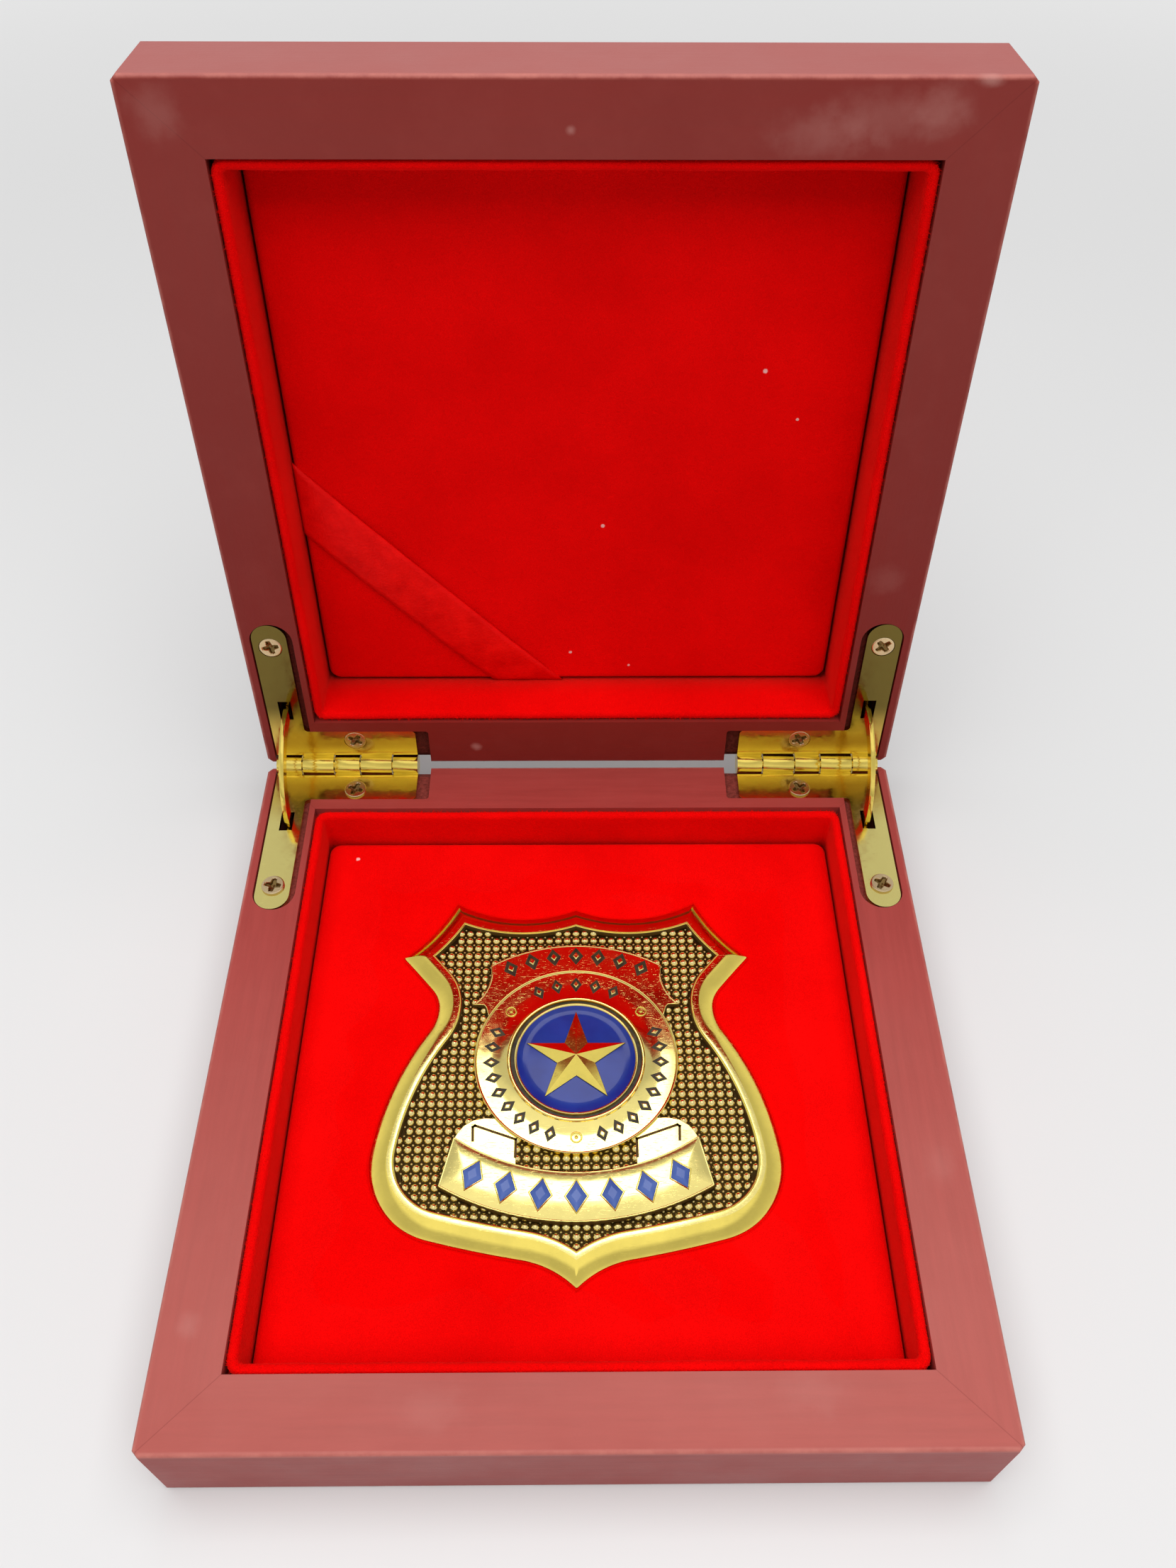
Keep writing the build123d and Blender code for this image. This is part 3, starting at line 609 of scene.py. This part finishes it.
def lid_ribbon():
    """The satin ribbon across the lid's lower left corner."""
    corner_x = -(OPENING[0] / 2 - BAND_GAP - BAND_THICKNESS)
    corner_y = SETBACK + RAIL_WIDTH + BAND_GAP + BAND_THICKNESS
    pad_level = RIM + WELLS["lid"]
    start, end = Vector((corner_x, corner_y + RIBBON_UP)), Vector((corner_x + RIBBON_ALONG, corner_y))
    run = end - start
    across = Vector((-run.y, run.x)).normalized()
    direction = run.normalized()
    limit_x, limit_y = corner_x + 0.12, corner_y + 0.12
    columns, rows = 60, 10
    points = []
    for thickness in (0.0, RIBBON_THICKNESS):
        for i in range(columns + 1):
            for j in range(rows + 1):
                lane = start + across * ((j / rows - 0.5) * RIBBON_WIDTH)
                first = (limit_x - lane.x) / direction.x
                last = (limit_y - lane.y) / direction.y
                share = i / columns
                place = lane + direction * (first + (last - first) * share)
                bow = 1.0 - (2 * share - 1) ** 4
                curl = 0.45 * (2 * j / rows - 1) ** 2 * bow
                slack = 0.16 * noise.noise(Vector((place.x * 0.16, place.y * 0.16, 4.0))) * bow
                level = pad_level + 0.25 - 1.25 * bow + curl + slack - thickness
                points.append(half_point("lid", place.x, place.y, level))
    wide, layer = rows + 1, (columns + 1) * (rows + 1)
    faces = []
    for i in range(columns):
        for j in range(rows):
            a, b = i * wide + j, (i + 1) * wide + j
            faces.append((a, b, b + 1, a + 1))
            faces.append((layer + a, layer + a + 1, layer + b + 1, layer + b))
    edges = [(i * wide + j, (i + 1) * wide + j, j > 0) for i in range(columns) for j in (0, rows)]
    edges += [(i * wide + j, i * wide + j + 1, i == 0) for j in range(rows) for i in (0, columns)]
    for a, b, outward in edges:
        quad = (a, b, layer + b, layer + a)
        faces.append(quad if outward else quad[::-1])
    made = piece("satin_ribbon", points, faces, "lid", satin())
    bpy.context.view_layer.update()
    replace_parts(made, "lid_ribbon")


lid_ribbon()

# ------ screws
SCREW_PLACES = [(-54.9, 28.65), (54.9, 28.65), (-42.5, 6.05), (42.5, 6.05)]
SCREW_FACE = 1.82
# radius and level of the head's eased edge, its underside and the shank
SCREW_EDGE = [(1.93, 0.02), (2.0, 0.06), (2.04, 0.12), (2.05, 0.2), (2.05, 0.45), (1.25, 1.3), (1.25, 7.9)]
# faces of the cross recess deeper than this take the darker metal, painted shade
RECESS_FROM = 0.16


def cross_depth(x, y):
    """How deep a worn cross recess goes at a point of a screw's face."""
    depth = 0.0
    for a, b in ((abs(x), abs(y)), (abs(y), abs(x))):
        half = 0.62 - 0.16 * a
        wall = max(0.0, min(1.0, (half - b) / 0.14))
        end = max(0.0, min(1.0, (1.5 - a) / 0.2))
        depth = max(depth, wall * end * (0.9 - 0.3 * a))
    return depth


def screw_heads(half, stand, turns):
    """The four screws of a half: a low head with an eased edge and a worn cross recess, over a plain shank."""
    points, faces, sunk = [], [], {}
    rings, steps = 22, 88
    head_level = RIM + 0.2 - stand
    rows = [(SCREW_FACE * k / rings, None) for k in range(1, rings + 1)] + SCREW_EDGE
    for (x, y), turn in zip(SCREW_PLACES, turns):
        c, s = polar(1, turn)
        start = len(points)
        points.append(half_point(half, x, y, head_level + cross_depth(0, 0)))
        for radius, drop in rows:
            for a, b in around(steps):
                u, v = radius * a, radius * b
                level = drop
                if drop is None:
                    sunk[len(points)] = cross_depth(u, v)
                    level = 0.015 * (radius / SCREW_FACE) ** 2 + sunk[len(points)]
                points.append(half_point(half, x + c * u - s * v, y + s * u + c * v, head_level + level))
        first = start + 1
        for j in range(steps):
            faces.append((start, first + j, first + (j + 1) % steps))
        for ring in range(first, first + (len(rows) - 1) * steps, steps):
            for j in range(steps):
                a, b = ring + j, ring + (j + 1) % steps
                faces.append((a, a + steps, b + steps, b))
        faces.append(tuple(range(len(points) - steps, len(points))))
    made = piece(f"{half}_screws", points, faces, half, SCREW_METAL)
    bm = bmesh.new()
    bm.from_mesh(made.data)
    bmesh.ops.recalc_face_normals(bm, faces=bm.faces)
    bm.to_mesh(made.data)
    bm.free()
    sharp(made, 38.0)
    # the deep faces of the cross recess take painted shade
    made.data.materials.append(PAINTED_RECESS_SHADE)
    for face in made.data.polygons:
        low = [sunk[k] for k in face.vertices if k in sunk]
        if low and min(low) > RECESS_FROM:
            face.material_index = 1
    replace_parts(made, f"{half}_hinge_screws")


# ------ badge
# the shield's right half: its corners, and the points that its arcs run through
TOP_CUSP, TOP_DIP, TOP_POINT = Vector((0.0, 31.1)), Vector((10.5, 29.1)), Vector((21.9, 32.7))
SHOULDER_DIP, WING_TIP = Vector((25.8, 25.9)), Vector((30.9, 20.5))
NECK_START, WAIST = Vector((25.5, 14.2)), Vector((24.1, 10.3))
FLANK = [(25.4, 5.9), (33.2, -16.0), (23.1, -30.6), (8.5, -33.7), (0.0, -38.1)]
FIELD_HEIGHT = 1.2
BORDER_INSET = 4.4
# the border from its outer edge: inset and height, up to a crest, a flat and a lip that falls to the field
CREST, FLAT_END = (3.1, 2.11), (3.92, 2.08)
BORDER = [
    (0.06, 0.0), (0.0, 0.06), (0.0, 0.62), (0.06, 0.78), (0.2, 0.95), (0.6, 1.22), (1.1, 1.49), (1.7, 1.76),
    (2.3, 1.97), (2.8, 2.08), CREST, FLAT_END, (4.0, 2.02), (4.06, 2.06), (4.14, 2.09), (4.25, 2.06), (4.33, 1.95),
    (4.38, 1.75), (4.44, FIELD_HEIGHT),
]
# the medallion's section, radius and height: rim, band, and two lips with a groove between them
MEDALLION_RADIUS = 17.1
MEDALLION = [
    (9.6, 1.0), (17.1, 1.0), (17.1, 2.2), (17.05, 2.28), (16.95, 2.31), (16.85, 2.28), (16.76, 2.1), (16.66, 2.0),
    (14.5, 2.02), (11.75, 1.98), (11.64, 2.04), (11.58, 2.2), (11.44, 2.34), (11.26, 2.38), (11.08, 2.32), (10.98, 2.1),
    (10.94, 1.65), (10.44, 1.65), (10.4, 2.1), (10.34, 2.26), (10.2, 2.34), (10.06, 2.32), (9.95, 2.22), (9.88, 2.0),
    (9.6, 1.8),
]
GROOVE = [(10.4, 1.5), (10.98, 1.5), (10.98, 1.84), (10.4, 1.84)]
POOL = [
    (0.0, 1.1), (9.95, 1.1), (9.95, 2.16), (9.8, 2.11), (9.5, 2.04), (8.9, 1.98), (8.0, 1.95), (4.0, 2.0), (0.0, 2.02),
]
CROWN_CENTRE, CROWN_RADIUS, CROWN_ANGLE = Vector((0, -6.9)), 29.2, 31.0
CROWN_DIP, CROWN_TIP, CROWN_NOTCH = Vector((15.1, 14.7)), Vector((17.8, 10.2)), Vector((15.6, 10.1))
CROWN_LAP, CROWN_TAIL_ANGLE = 0.3, 27.0
MOTTO_CENTRE, MOTTO_RADII, MOTTO_HALF_WIDTHS = Vector((0, 15.1)), (35.3, 43.4), (19.7, 21.7)
FOLD = [(19.7, -14.2), (19.1, -13.1), (18.2, -12.0), (16.8, -11.1), (15.0, -10.7), (12.6, -10.8), (9.6, -13.0)]
FOLD += [(9.6, -20.0)]
FOLD_LINE = [(16.65, -14.6), (16.75, -12.3), (16.4, -12.05), (9.75, -14.45), (9.75, -17.4)]
LINE_WIDTH = 0.44
BANNER_EDGE = [(0.0, -0.02), (0.04, 0.06), (0.11, 0.09), (0.19, 0.08), (0.26, 0.02), (0.3, 0.0)]
MOTTO_SWELL = [(0.7, 0.05), (1.2, 0.095), (1.8, 0.13), (2.5, 0.155), (3.2, 0.165)]
CROWN_MARK_RADIUS, BAND_MARK_RADIUS = 26.9, 14.25
BEAD_PITCH, BEAD_RADIUS, SEED_RADIUS = 1.59, 0.70, 0.22


def badge_point(x, y, height):
    return Vector((BADGE_X + x, BADGE_Y + y, BADGE_Z + height))


def clock_point(centre, radius, degrees):
    """A point at an angle clockwise from the top of a circle."""
    turned = math.radians(degrees)
    return centre.x + radius * math.sin(turned), centre.y + radius * math.cos(turned)


def flipped(run):
    return [Vector((-p.x, p.y)) for p in reversed(run)]


def cross(a, b):
    return a.x * b.y - a.y * b.x


def swept(begin, end):
    """The angle that turns one direction into the other."""
    return math.atan2(cross(begin, end), begin.dot(end))


def circle_arc(centre, start, sweep):
    """Points on a circle from start, turning by sweep radians."""
    arm = start - centre
    count = max(3, int(abs(sweep) * arm.length / 0.35))
    return [centre + Matrix.Rotation(sweep * k / count, 2) @ arm for k in range(count + 1)]


def three_point_arc(a, b, c):
    d = 2 * (a.x * (b.y - c.y) + b.x * (c.y - a.y) + c.x * (a.y - b.y))
    squares = a.length_squared, b.length_squared, c.length_squared
    centre = Vector(
        (
            (squares[0] * (b.y - c.y) + squares[1] * (c.y - a.y) + squares[2] * (a.y - b.y)) / d,
            (squares[0] * (c.x - b.x) + squares[1] * (a.x - c.x) + squares[2] * (b.x - a.x)) / d,
        )
    )
    return circle_arc(centre, a, swept(a - centre, c - centre))


def tangent_arc(a, b, tangent):
    """The arc from a to b that leaves a along tangent, and the direction in which it reaches b."""
    normal = Vector((-tangent.y, tangent.x))
    across = b - a
    radius = across.length_squared / (2 * across.dot(normal))
    centre = a + normal * radius
    sweep = swept(a - centre, b - centre)
    if sweep * radius < 0:
        sweep += math.copysign(2 * math.pi, radius)
    return circle_arc(centre, a, sweep), Matrix.Rotation(sweep, 2) @ tangent


def shield_sides():
    """The shield's outline clockwise from its top cusp, as one run of points between each pair of corners."""
    upper, heading = tangent_arc(WAIST, NECK_START, Vector((0, 1)))
    wing, _ = tangent_arc(NECK_START, WING_TIP, heading)
    flank = (upper + wing[1:])[::-1]
    heading, at = Vector((0, -1)), WAIST
    for following in map(Vector, FLANK):
        run, heading = tangent_arc(at, following, heading)
        flank += run[1:]
        at = following
    right = [three_point_arc(TOP_CUSP, TOP_DIP, TOP_POINT), three_point_arc(TOP_POINT, SHOULDER_DIP, WING_TIP), flank]
    return right + [flipped(run) for run in reversed(right)]


def push_in(run, inset):
    """A run of points moved to its right by inset."""
    moved = []
    for k, point in enumerate(run):
        heading = (run[min(k + 1, len(run) - 1)] - run[max(k - 1, 0)]).normalized()
        moved.append(point + Vector((heading.y, -heading.x)) * inset)
    return moved


def crossing(first, second):
    """Where the tail of one run crosses the head of the next: indices and point."""
    for i in range(len(first) - 2, -1, -1):
        p, r = first[i], first[i + 1] - first[i]
        for j in range(len(second) - 1):
            q, s = second[j], second[j + 1] - second[j]
            d = cross(r, s)
            if abs(d) < 1e-9:
                continue
            t = ((q.x - p.x) * s.y - (q.y - p.y) * s.x) / d
            u = ((q.x - p.x) * r.y - (q.y - p.y) * r.x) / d
            if -1e-6 <= t <= 1 + 1e-6 and -1e-6 <= u <= 1 + 1e-6:
                return i, j, p + r * t
    raise ValueError("the runs don't cross")


def even_points(run, count):
    """count points, evenly spaced, from the start of a run up to but not including its end."""
    lengths = [0.0]
    for a, b in zip(run, run[1:]):
        lengths.append(lengths[-1] + (b - a).length)
    made, k = [], 0
    for step in range(count):
        goal = lengths[-1] * step / count
        while lengths[k + 1] < goal:
            k += 1
        share = (goal - lengths[k]) / max(lengths[k + 1] - lengths[k], 1e-9)
        made.append(run[k].lerp(run[k + 1], share))
    return made


def ring_of(sides, inset):
    """A closed outline, given as clockwise runs between its corners, drawn in by inset and mitred at the corners."""
    runs = sides
    if inset:
        pushed = [push_in(run, inset) for run in sides]
        cuts = [crossing(run, following) for run, following in pairs(pushed)]
        runs = []
        for k, run in enumerate(pushed):
            head, begin = cuts[k - 1][1:]
            tail, _, end = cuts[k]
            runs.append([begin] + run[head + 1 : tail + 1] + [end])
    return [point for side, run in zip(sides, runs) for point in even_points(run, max(4, len(side)))]


def inside(point, outline):
    """Whether a point lies inside a closed outline."""
    hit = False
    for a, b in pairs(outline):
        if (a.y > point.y) != (b.y > point.y) and point.x < a.x + (point.y - a.y) * (b.x - a.x) / (b.y - a.y):
            hit = not hit
    return hit


def edge_distance(point, outline):
    best = 1e9
    for a, b in pairs(outline):
        run = b - a
        share = max(0.0, min(1.0, (point - a).dot(run) / max(run.length_squared, 1e-12)))
        best = min(best, (a + run * share - point).length)
    return best


def paint_ring(made, ring, count, index):
    """Give a ring of faces in a stack the material of that index."""
    for face in made.data.polygons[ring * count : (ring + 1) * count]:
        face.material_index = index


def closed_stack(name, sides, profile, material, angle, wall, wall_rings):
    """A solid of the badge: its outline, drawn in and raised by each (inset, height) of a profile, from the bottom up.
    The rings of faces named by wall_rings take the wall material."""
    loops = []
    for inset, height in profile:
        loops.append([badge_point(p.x, p.y, height) for p in reversed(ring_of(sides, inset))])
    count = len(loops[0])
    made = sharp(piece(name, flat(loops), capped(loops), "badge", material), angle)
    for face in made.data.polygons[-2:]:
        face.use_smooth = False
    if wall:
        made.data.materials.append(wall)
        for ring in wall_rings:
            paint_ring(made, ring, count, 1)
    return made, count


def badge_body():
    """The moulded border, the sunk field and the flat back, in one casting."""
    last = len(BORDER) - 1
    lip = range(last - 3, last)
    made, count = closed_stack("badge_casting", SIDES, BORDER, BADGE_GOLD, 30.0, LINE, lip)
    made.data.materials.append(ANTIQUE)
    made.data.polygons[len(made.data.polygons) - 2].material_index = 2
    # the flat inside the crest takes the paler gold, a painted highlight
    made.data.materials.append(PAINTED_HIGHLIGHT_GOLD)
    paint_ring(made, BORDER.index(CREST), count, 3)
    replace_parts(made, "badge_shield")


def crown_sides():
    """The upper banner: its top, its scalloped right end, the right tail down to the medallion, the medallion's edge,
    and the same on the left."""
    turns = (-CROWN_ANGLE, 0, CROWN_ANGLE)
    corners = [Vector(clock_point(CROWN_CENTRE, CROWN_RADIUS, turn)) for turn in turns]
    top = three_point_arc(*corners)
    right = three_point_arc(corners[2], CROWN_DIP, CROWN_TIP)
    reach = MEDALLION_RADIUS - CROWN_LAP
    meets = Vector(polar(1, CROWN_TAIL_ANGLE)) * reach
    tail = [CROWN_TIP, CROWN_TIP.lerp(CROWN_NOTCH, 0.5), CROWN_NOTCH, CROWN_NOTCH.lerp(meets, 0.5), meets]
    under = three_point_arc(meets, Vector((0, reach)), Vector((-meets.x, meets.y)))
    return [top, right, tail, under, flipped(tail), flipped(right)]


def motto_sides():
    edges = []
    for radius, half_width in zip(MOTTO_RADII, MOTTO_HALF_WIDTHS):
        corner = Vector((half_width, MOTTO_CENTRE.y - math.sqrt(radius**2 - half_width**2)))
        middle = MOTTO_CENTRE - Vector((0, radius))
        edges.append((Vector((-corner.x, corner.y)), middle, corner))
    top = three_point_arc(*edges[0])
    bottom = three_point_arc(*reversed(edges[1]))
    return [top, [edges[0][2], edges[1][2]], bottom, [bottom[-1], top[0]]]


def polygon_sides(corners):
    """A convex polygon's sides, clockwise."""
    corners = [Vector(p) for p in corners]
    if sum(cross(a, b) for a, b in pairs(corners)) > 0:
        corners.reverse()
    return [[a, b] for a, b in pairs(corners)]


SIDES = shield_sides()
FOLDS = [polygon_sides([(hand * x, y) for x, y in FOLD]) for hand in (1, -1)]


def plaque(name, sides, foot, profile, material, slot="gold_plate", angle=32.0):
    """A raised shape: profile is (inset, height) from its foot up and over its edge. A gold one has a dark foot."""
    wall = LINE if slot == "gold_plate" else None
    return closed_stack(name, sides, [(0.0, foot), *profile], material, angle, wall, (0,))[0]


def lathe(name, profile, material, segments=160, angle=32.0, centre=(0, 0)):
    """A ring about a point of the badge, from a closed profile of (radius, height)."""
    loops = []
    for c, s in around(segments):
        loops.append([badge_point(centre[0] + r * c, centre[1] + r * s, h) for r, h in profile])
    faces = [(a, d, c, b) for a, b, c, d in bridge(loops, wrap=True)]
    return sharp(piece(name, flat(loops), faces, "badge", material), angle)


def ring_torus(name, centre, radius, tube, height):
    section = [(radius + tube * c, height + tube * s) for c, s in around(8)]
    lathe(name, section, BADGE_GOLD, segments=32, angle=180.0, centre=centre)


def dome_cluster(name, spots, material):
    """Many small domes in one mesh: spots are (x, y, radius, foot, height, segments)."""
    points, faces = [], []
    levels = 4
    for x, y, radius, foot, height, segments in spots:
        start = len(points)
        for level in range(levels):
            c, s = polar(1, 90 * level / levels)
            r, h = radius * c, foot + height * s
            points += [badge_point(x + r * c, y + r * s, h) for c, s in around(segments)]
        points.append(badge_point(x, y, foot + height))
        for level in range(levels):
            ring = start + level * segments
            for k in range(segments):
                a, b = ring + k, ring + (k + 1) % segments
                faces.append((a, b, b + segments, a + segments) if level < levels - 1 else (a, b, len(points) - 1))
        faces.append(tuple(range(start, start + segments))[::-1])
    return sharp(piece(name, points, faces, "badge", material), 60.0)


def star_loop(radius, height):
    inner = radius * math.sin(math.radians(18)) / math.sin(math.radians(54))
    return [badge_point(*polar(inner if step % 2 else radius, 90 + 36 * step), height) for step in range(10)]


def badge_star():
    loops = [star_loop(8.85, FIELD_HEIGHT), star_loop(8.8, 2.18), star_loop(8.66, 2.24)]
    points = flat(loops) + [badge_point(0, 0, 3.3)]
    faces = bridge(loops) + [(20 + k, 20 + (k + 1) % 10, 30) for k in range(10)] + [tuple(range(10))[::-1]]
    made = piece("badge_star", points, faces, "badge", BADGE_GOLD, smooth=False)
    ease(made, 0.05, 30.0)


def lozenge(x, y, width, length, degrees):
    """A lozenge's sides, clockwise, turned about its middle."""
    turned = Matrix.Rotation(math.radians(degrees), 2)
    corners = [(0, length / 2), (width / 2, 0), (0, -length / 2), (-width / 2, 0)]
    return polygon_sides([Vector((x, y)) + turned @ Vector(c) for c in corners])


def join(name, objects):
    """Several pieces of the badge that are alike, in one mesh."""
    first = objects[0]
    with bpy.context.temp_override(active_object=first, selected_objects=objects, selected_editable_objects=objects):
        bpy.ops.object.join()
    first.name = name
    return first


def strip(points, width):
    """A thin line along a few points, as one run for each stretch between them."""
    pieces = []
    for a, b in zip(points, points[1:]):
        run = (b - a).normalized()
        across = Vector((run.y, -run.x)) * width / 2
        a, b = a - run * width / 2, b + run * width / 2
        pieces.append([a + across, b + across, b - across, a - across])
    return pieces


def badge_folds():
    """The folded tails behind the lower banner, each with a line along its fold."""
    lines = []
    for number, hand in enumerate((1, -1)):
        fold_profile = [(0.0, 1.72), (0.05, 1.82), (0.12, 1.84)]
        plaque(f"badge_fold_{number}", FOLDS[number], FIELD_HEIGHT - 0.2, fold_profile, PAINTED_HIGHLIGHT_GOLD)
        route = [Vector((hand * x, y)) for x, y in FOLD_LINE]
        for k, run in enumerate(strip(route, LINE_WIDTH)):
            line_profile = [(0.0, 1.85), (0.03, 1.87)]
            lines.append(plaque(f"fold_line_{number}_{k}", polygon_sides(run), 1.7, line_profile, LINE))
    join("badge_fold_lines", lines)


def banner(name, sides, top, swell=()):
    """A banner with a fine raised edge, and a swell across its face."""
    profile = [(inset, top + height) for inset, height in (*BANNER_EDGE, *swell)]
    plaque(name, sides, FIELD_HEIGHT - 0.2, profile, PAINTED_HIGHLIGHT_GOLD)


def enamel_lozenges():
    """Enamel lozenges along the lower banner, each in a thin gold rim."""
    mean = sum(MOTTO_RADII) / 2
    rim_profile = [(0.0, 2.56), (0.06, 2.64), (0.16, 2.62), (0.2, 2.4)]
    pool_profile = [(0.0, 2.52), (0.08, 2.64), (0.25, 2.76), (0.5, 2.84), (0.8, 2.88)]
    rims, pools = [], []
    for step in range(7):
        degrees = (step - 3) * 8.2
        x, y = clock_point(MOTTO_CENTRE, -mean, -degrees)
        rims.append(plaque(f"rim_{step}", lozenge(x, y, 3.95, 5.75, degrees), 2.2, rim_profile, BADGE_GOLD))
        pool = lozenge(x, y, 3.5, 5.1, degrees)
        pools.append(plaque(f"pool_{step}", pool, 2.1, pool_profile, BANNER_ENAMEL, "enamel", 70.0))
    join("badge_lozenge_rims", rims)
    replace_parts(join("badge_lozenge_enamel", pools), "badge_banner_enamel")


def outlined_lozenges():
    """Lozenges in black outline along the upper banner and the medallion's band."""
    places = []
    for step in range(7):
        degrees = (step - 3) * 8.4
        places.append((*clock_point(CROWN_CENTRE, CROWN_MARK_RADIUS, degrees), -degrees, 2.6, 3.6, 2.2))
    for first, spacing, count in ((63, 13.5, 5), (160, 11.6, 9), (20, -11.6, 9)):
        for k in range(count):
            degrees = first + k * spacing
            places.append((*polar(BAND_MARK_RADIUS, degrees), degrees - 90, 2.15, 3.05, 1.96))
    lines, faces = [], []
    for number, (x, y, degrees, width, length, level) in enumerate(places):
        outline = lozenge(x, y, width, length, degrees)
        inner = lozenge(x, y, width * 0.42, length * 0.42, degrees)
        line_profile = [(0.0, level + 0.03), (0.05, level + 0.06)]
        face_profile = [(0.0, level + 0.1), (0.06, level + 0.15), (0.15, level + 0.17)]
        lines.append(plaque(f"line_{number}", outline, level - 0.1, line_profile, BLACK))
        faces.append(plaque(f"face_{number}", inner, level - 0.1, face_profile, PAINTED_HIGHLIGHT_GOLD))
    join("badge_mark_lines", lines)
    join("badge_mark_faces", faces)


def ringed_dots():
    """Small rings with a dot, between the groups of lozenges."""
    spots = []
    for number, degrees in enumerate((141.5, 38.5, -90)):
        centre = polar(BAND_MARK_RADIUS, degrees)
        spots.append((*centre, 0.36, 1.9, 0.28, 16))
        ring_torus(f"badge_ring_{number}", centre, 0.85, 0.16, 2.0)
    dome_cluster("badge_dots", spots, BADGE_GOLD)


def beaded_field():
    """Rows of beads, with smaller ones between them, wherever no banner or medallion covers the field."""
    field = ring_of(SIDES, BORDER_INSET)
    covers = [[p for run in sides for p in run[:-1]] for sides in (crown_sides(), motto_sides(), *FOLDS)]
    spots = []
    for row in range(-52, 50):
        small = row % 2
        radius = SEED_RADIUS if small else BEAD_RADIUS
        height, segments = (0.12, 8) if small else (0.58, 14)
        y = row * BEAD_PITCH / 2
        for column in range(-24, 25):
            x = column * BEAD_PITCH + (BEAD_PITCH / 2 if small else 0.0)
            at = Vector((x, y))
            if at.length < MEDALLION_RADIUS - radius:
                continue
            if not inside(at, field) and edge_distance(at, field) > 0.4 * radius:
                continue
            if any(inside(at, cover) and edge_distance(at, cover) > radius for cover in covers):
                continue
            spots.append((x, y, radius, FIELD_HEIGHT - 0.05, height + 0.05, segments))
    dome_cluster("badge_beads", spots, BEAD_GOLD)


screw_heads("base", 0.45, (8, 32, 20, 61))
screw_heads("lid", 0.0, (12, 40, 55, 28))
badge_body()
badge_folds()
lathe("badge_medallion", MEDALLION, PAINTED_HIGHLIGHT_GOLD)
lathe("badge_groove", GROOVE, BLACK)
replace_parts(lathe("badge_enamel_pool", POOL, ENAMEL), "badge_enamel_disc")
badge_star()
banner("badge_crown_banner", crown_sides(), 2.2)
banner("badge_motto_banner", motto_sides(), 2.4, MOTTO_SWELL)
enamel_lozenges()
outlined_lozenges()
ringed_dots()
beaded_field()

# ------ floor and light
BACKDROP = (0.86, 0.86, 0.86)


def sees_backdrop(s):
    """1 for the rays that show the pale backdrop: the camera's, and those off metal and through glass."""
    paths = s.node("LightPath").outputs
    metal = s.math("MAXIMUM", paths["Is Camera Ray"], paths["Is Glossy Ray"])
    return s.math("MAXIMUM", metal, paths["Is Transmission Ray"])


def floor_surface():
    """Plain and pale. Away from the object and its shadow, the floor runs into the backdrop."""
    s = Shader("floor_surface", Roughness=0.8, Specular_IOR_Level=0.2)
    s.set("Base Color", s.ramp(s.noise(3, 2), (0.3, (0.70, 0.70, 0.70)), (0.7, (0.73, 0.73, 0.73))))
    away = s.step(s.vector_math("LENGTH", s.coords), 0.25, 0.75)
    shown = s.times(away, sees_backdrop(s))
    glow = s.node("Emission", BACKDROP)
    blend = s.node("MixShader", shown, s.bsdf.outputs[0], glow.outputs[0])
    s.feed(s.tree.nodes["Material Output"].inputs["Surface"], blend.outputs[0])
    return s.material


def lamp(name, place, target, size, power, mirrored):
    data = bpy.data.lights.new(name, "AREA")
    data.shape = "RECTANGLE"
    data.size, data.size_y = size
    data.energy = power
    made = placed(name, data)
    made.location = place
    made.rotation_euler = (Vector(target) - Vector(place)).to_track_quat("-Z", "Y").to_euler()
    made.visible_glossy = mirrored


def studio():
    """A dim sky for diffuse light, whose brighter bands show in the metal, and a pale backdrop for the camera."""
    world = bpy.data.worlds.new("studio")
    bpy.context.scene.world = world
    world.use_nodes = True
    s = Nodes(world.node_tree)
    background = s.tree.nodes["Background"].inputs
    s.feed(background["Strength"], s.node("MapRange", sees_backdrop(s), 0.0, 1.0, 0.3, 1.0).outputs[0])
    height = s.node("SeparateXYZ", s.node("TexCoord").outputs["Generated"]).outputs["Z"]
    sky = s.ramp(height, (0.0, 0.35), (0.35, 0.85), (0.72, 0.6), (0.86, 0.58), (0.93, 1.0), (1.0, 1.0))
    s.feed(background["Color"], s.mix(s.node("LightPath").outputs["Is Camera Ray"], sky, BACKDROP))


FLOOR_REACH = 3000
floor = [(FLOOR_REACH * a, FLOOR_REACH * b, 0) for a, b in ((-1, -1), (1, -1), (1, 1), (-1, 1))]
mesh_object("floor", floor, [(0, 1, 2, 3)], floor_surface())
lamp("overhead", (0.0, -0.2, 1.0), (0.0, 0.02, 0.0), (1.2, 1.2), 14.2, False)
lamp("highlight", (-0.02, 0.445, 1.0), (0.0, 0.0, 0.02), (0.26, 0.17), 0.48, True)
studio()

bpy.context.scene.view_settings.view_transform = "Standard"
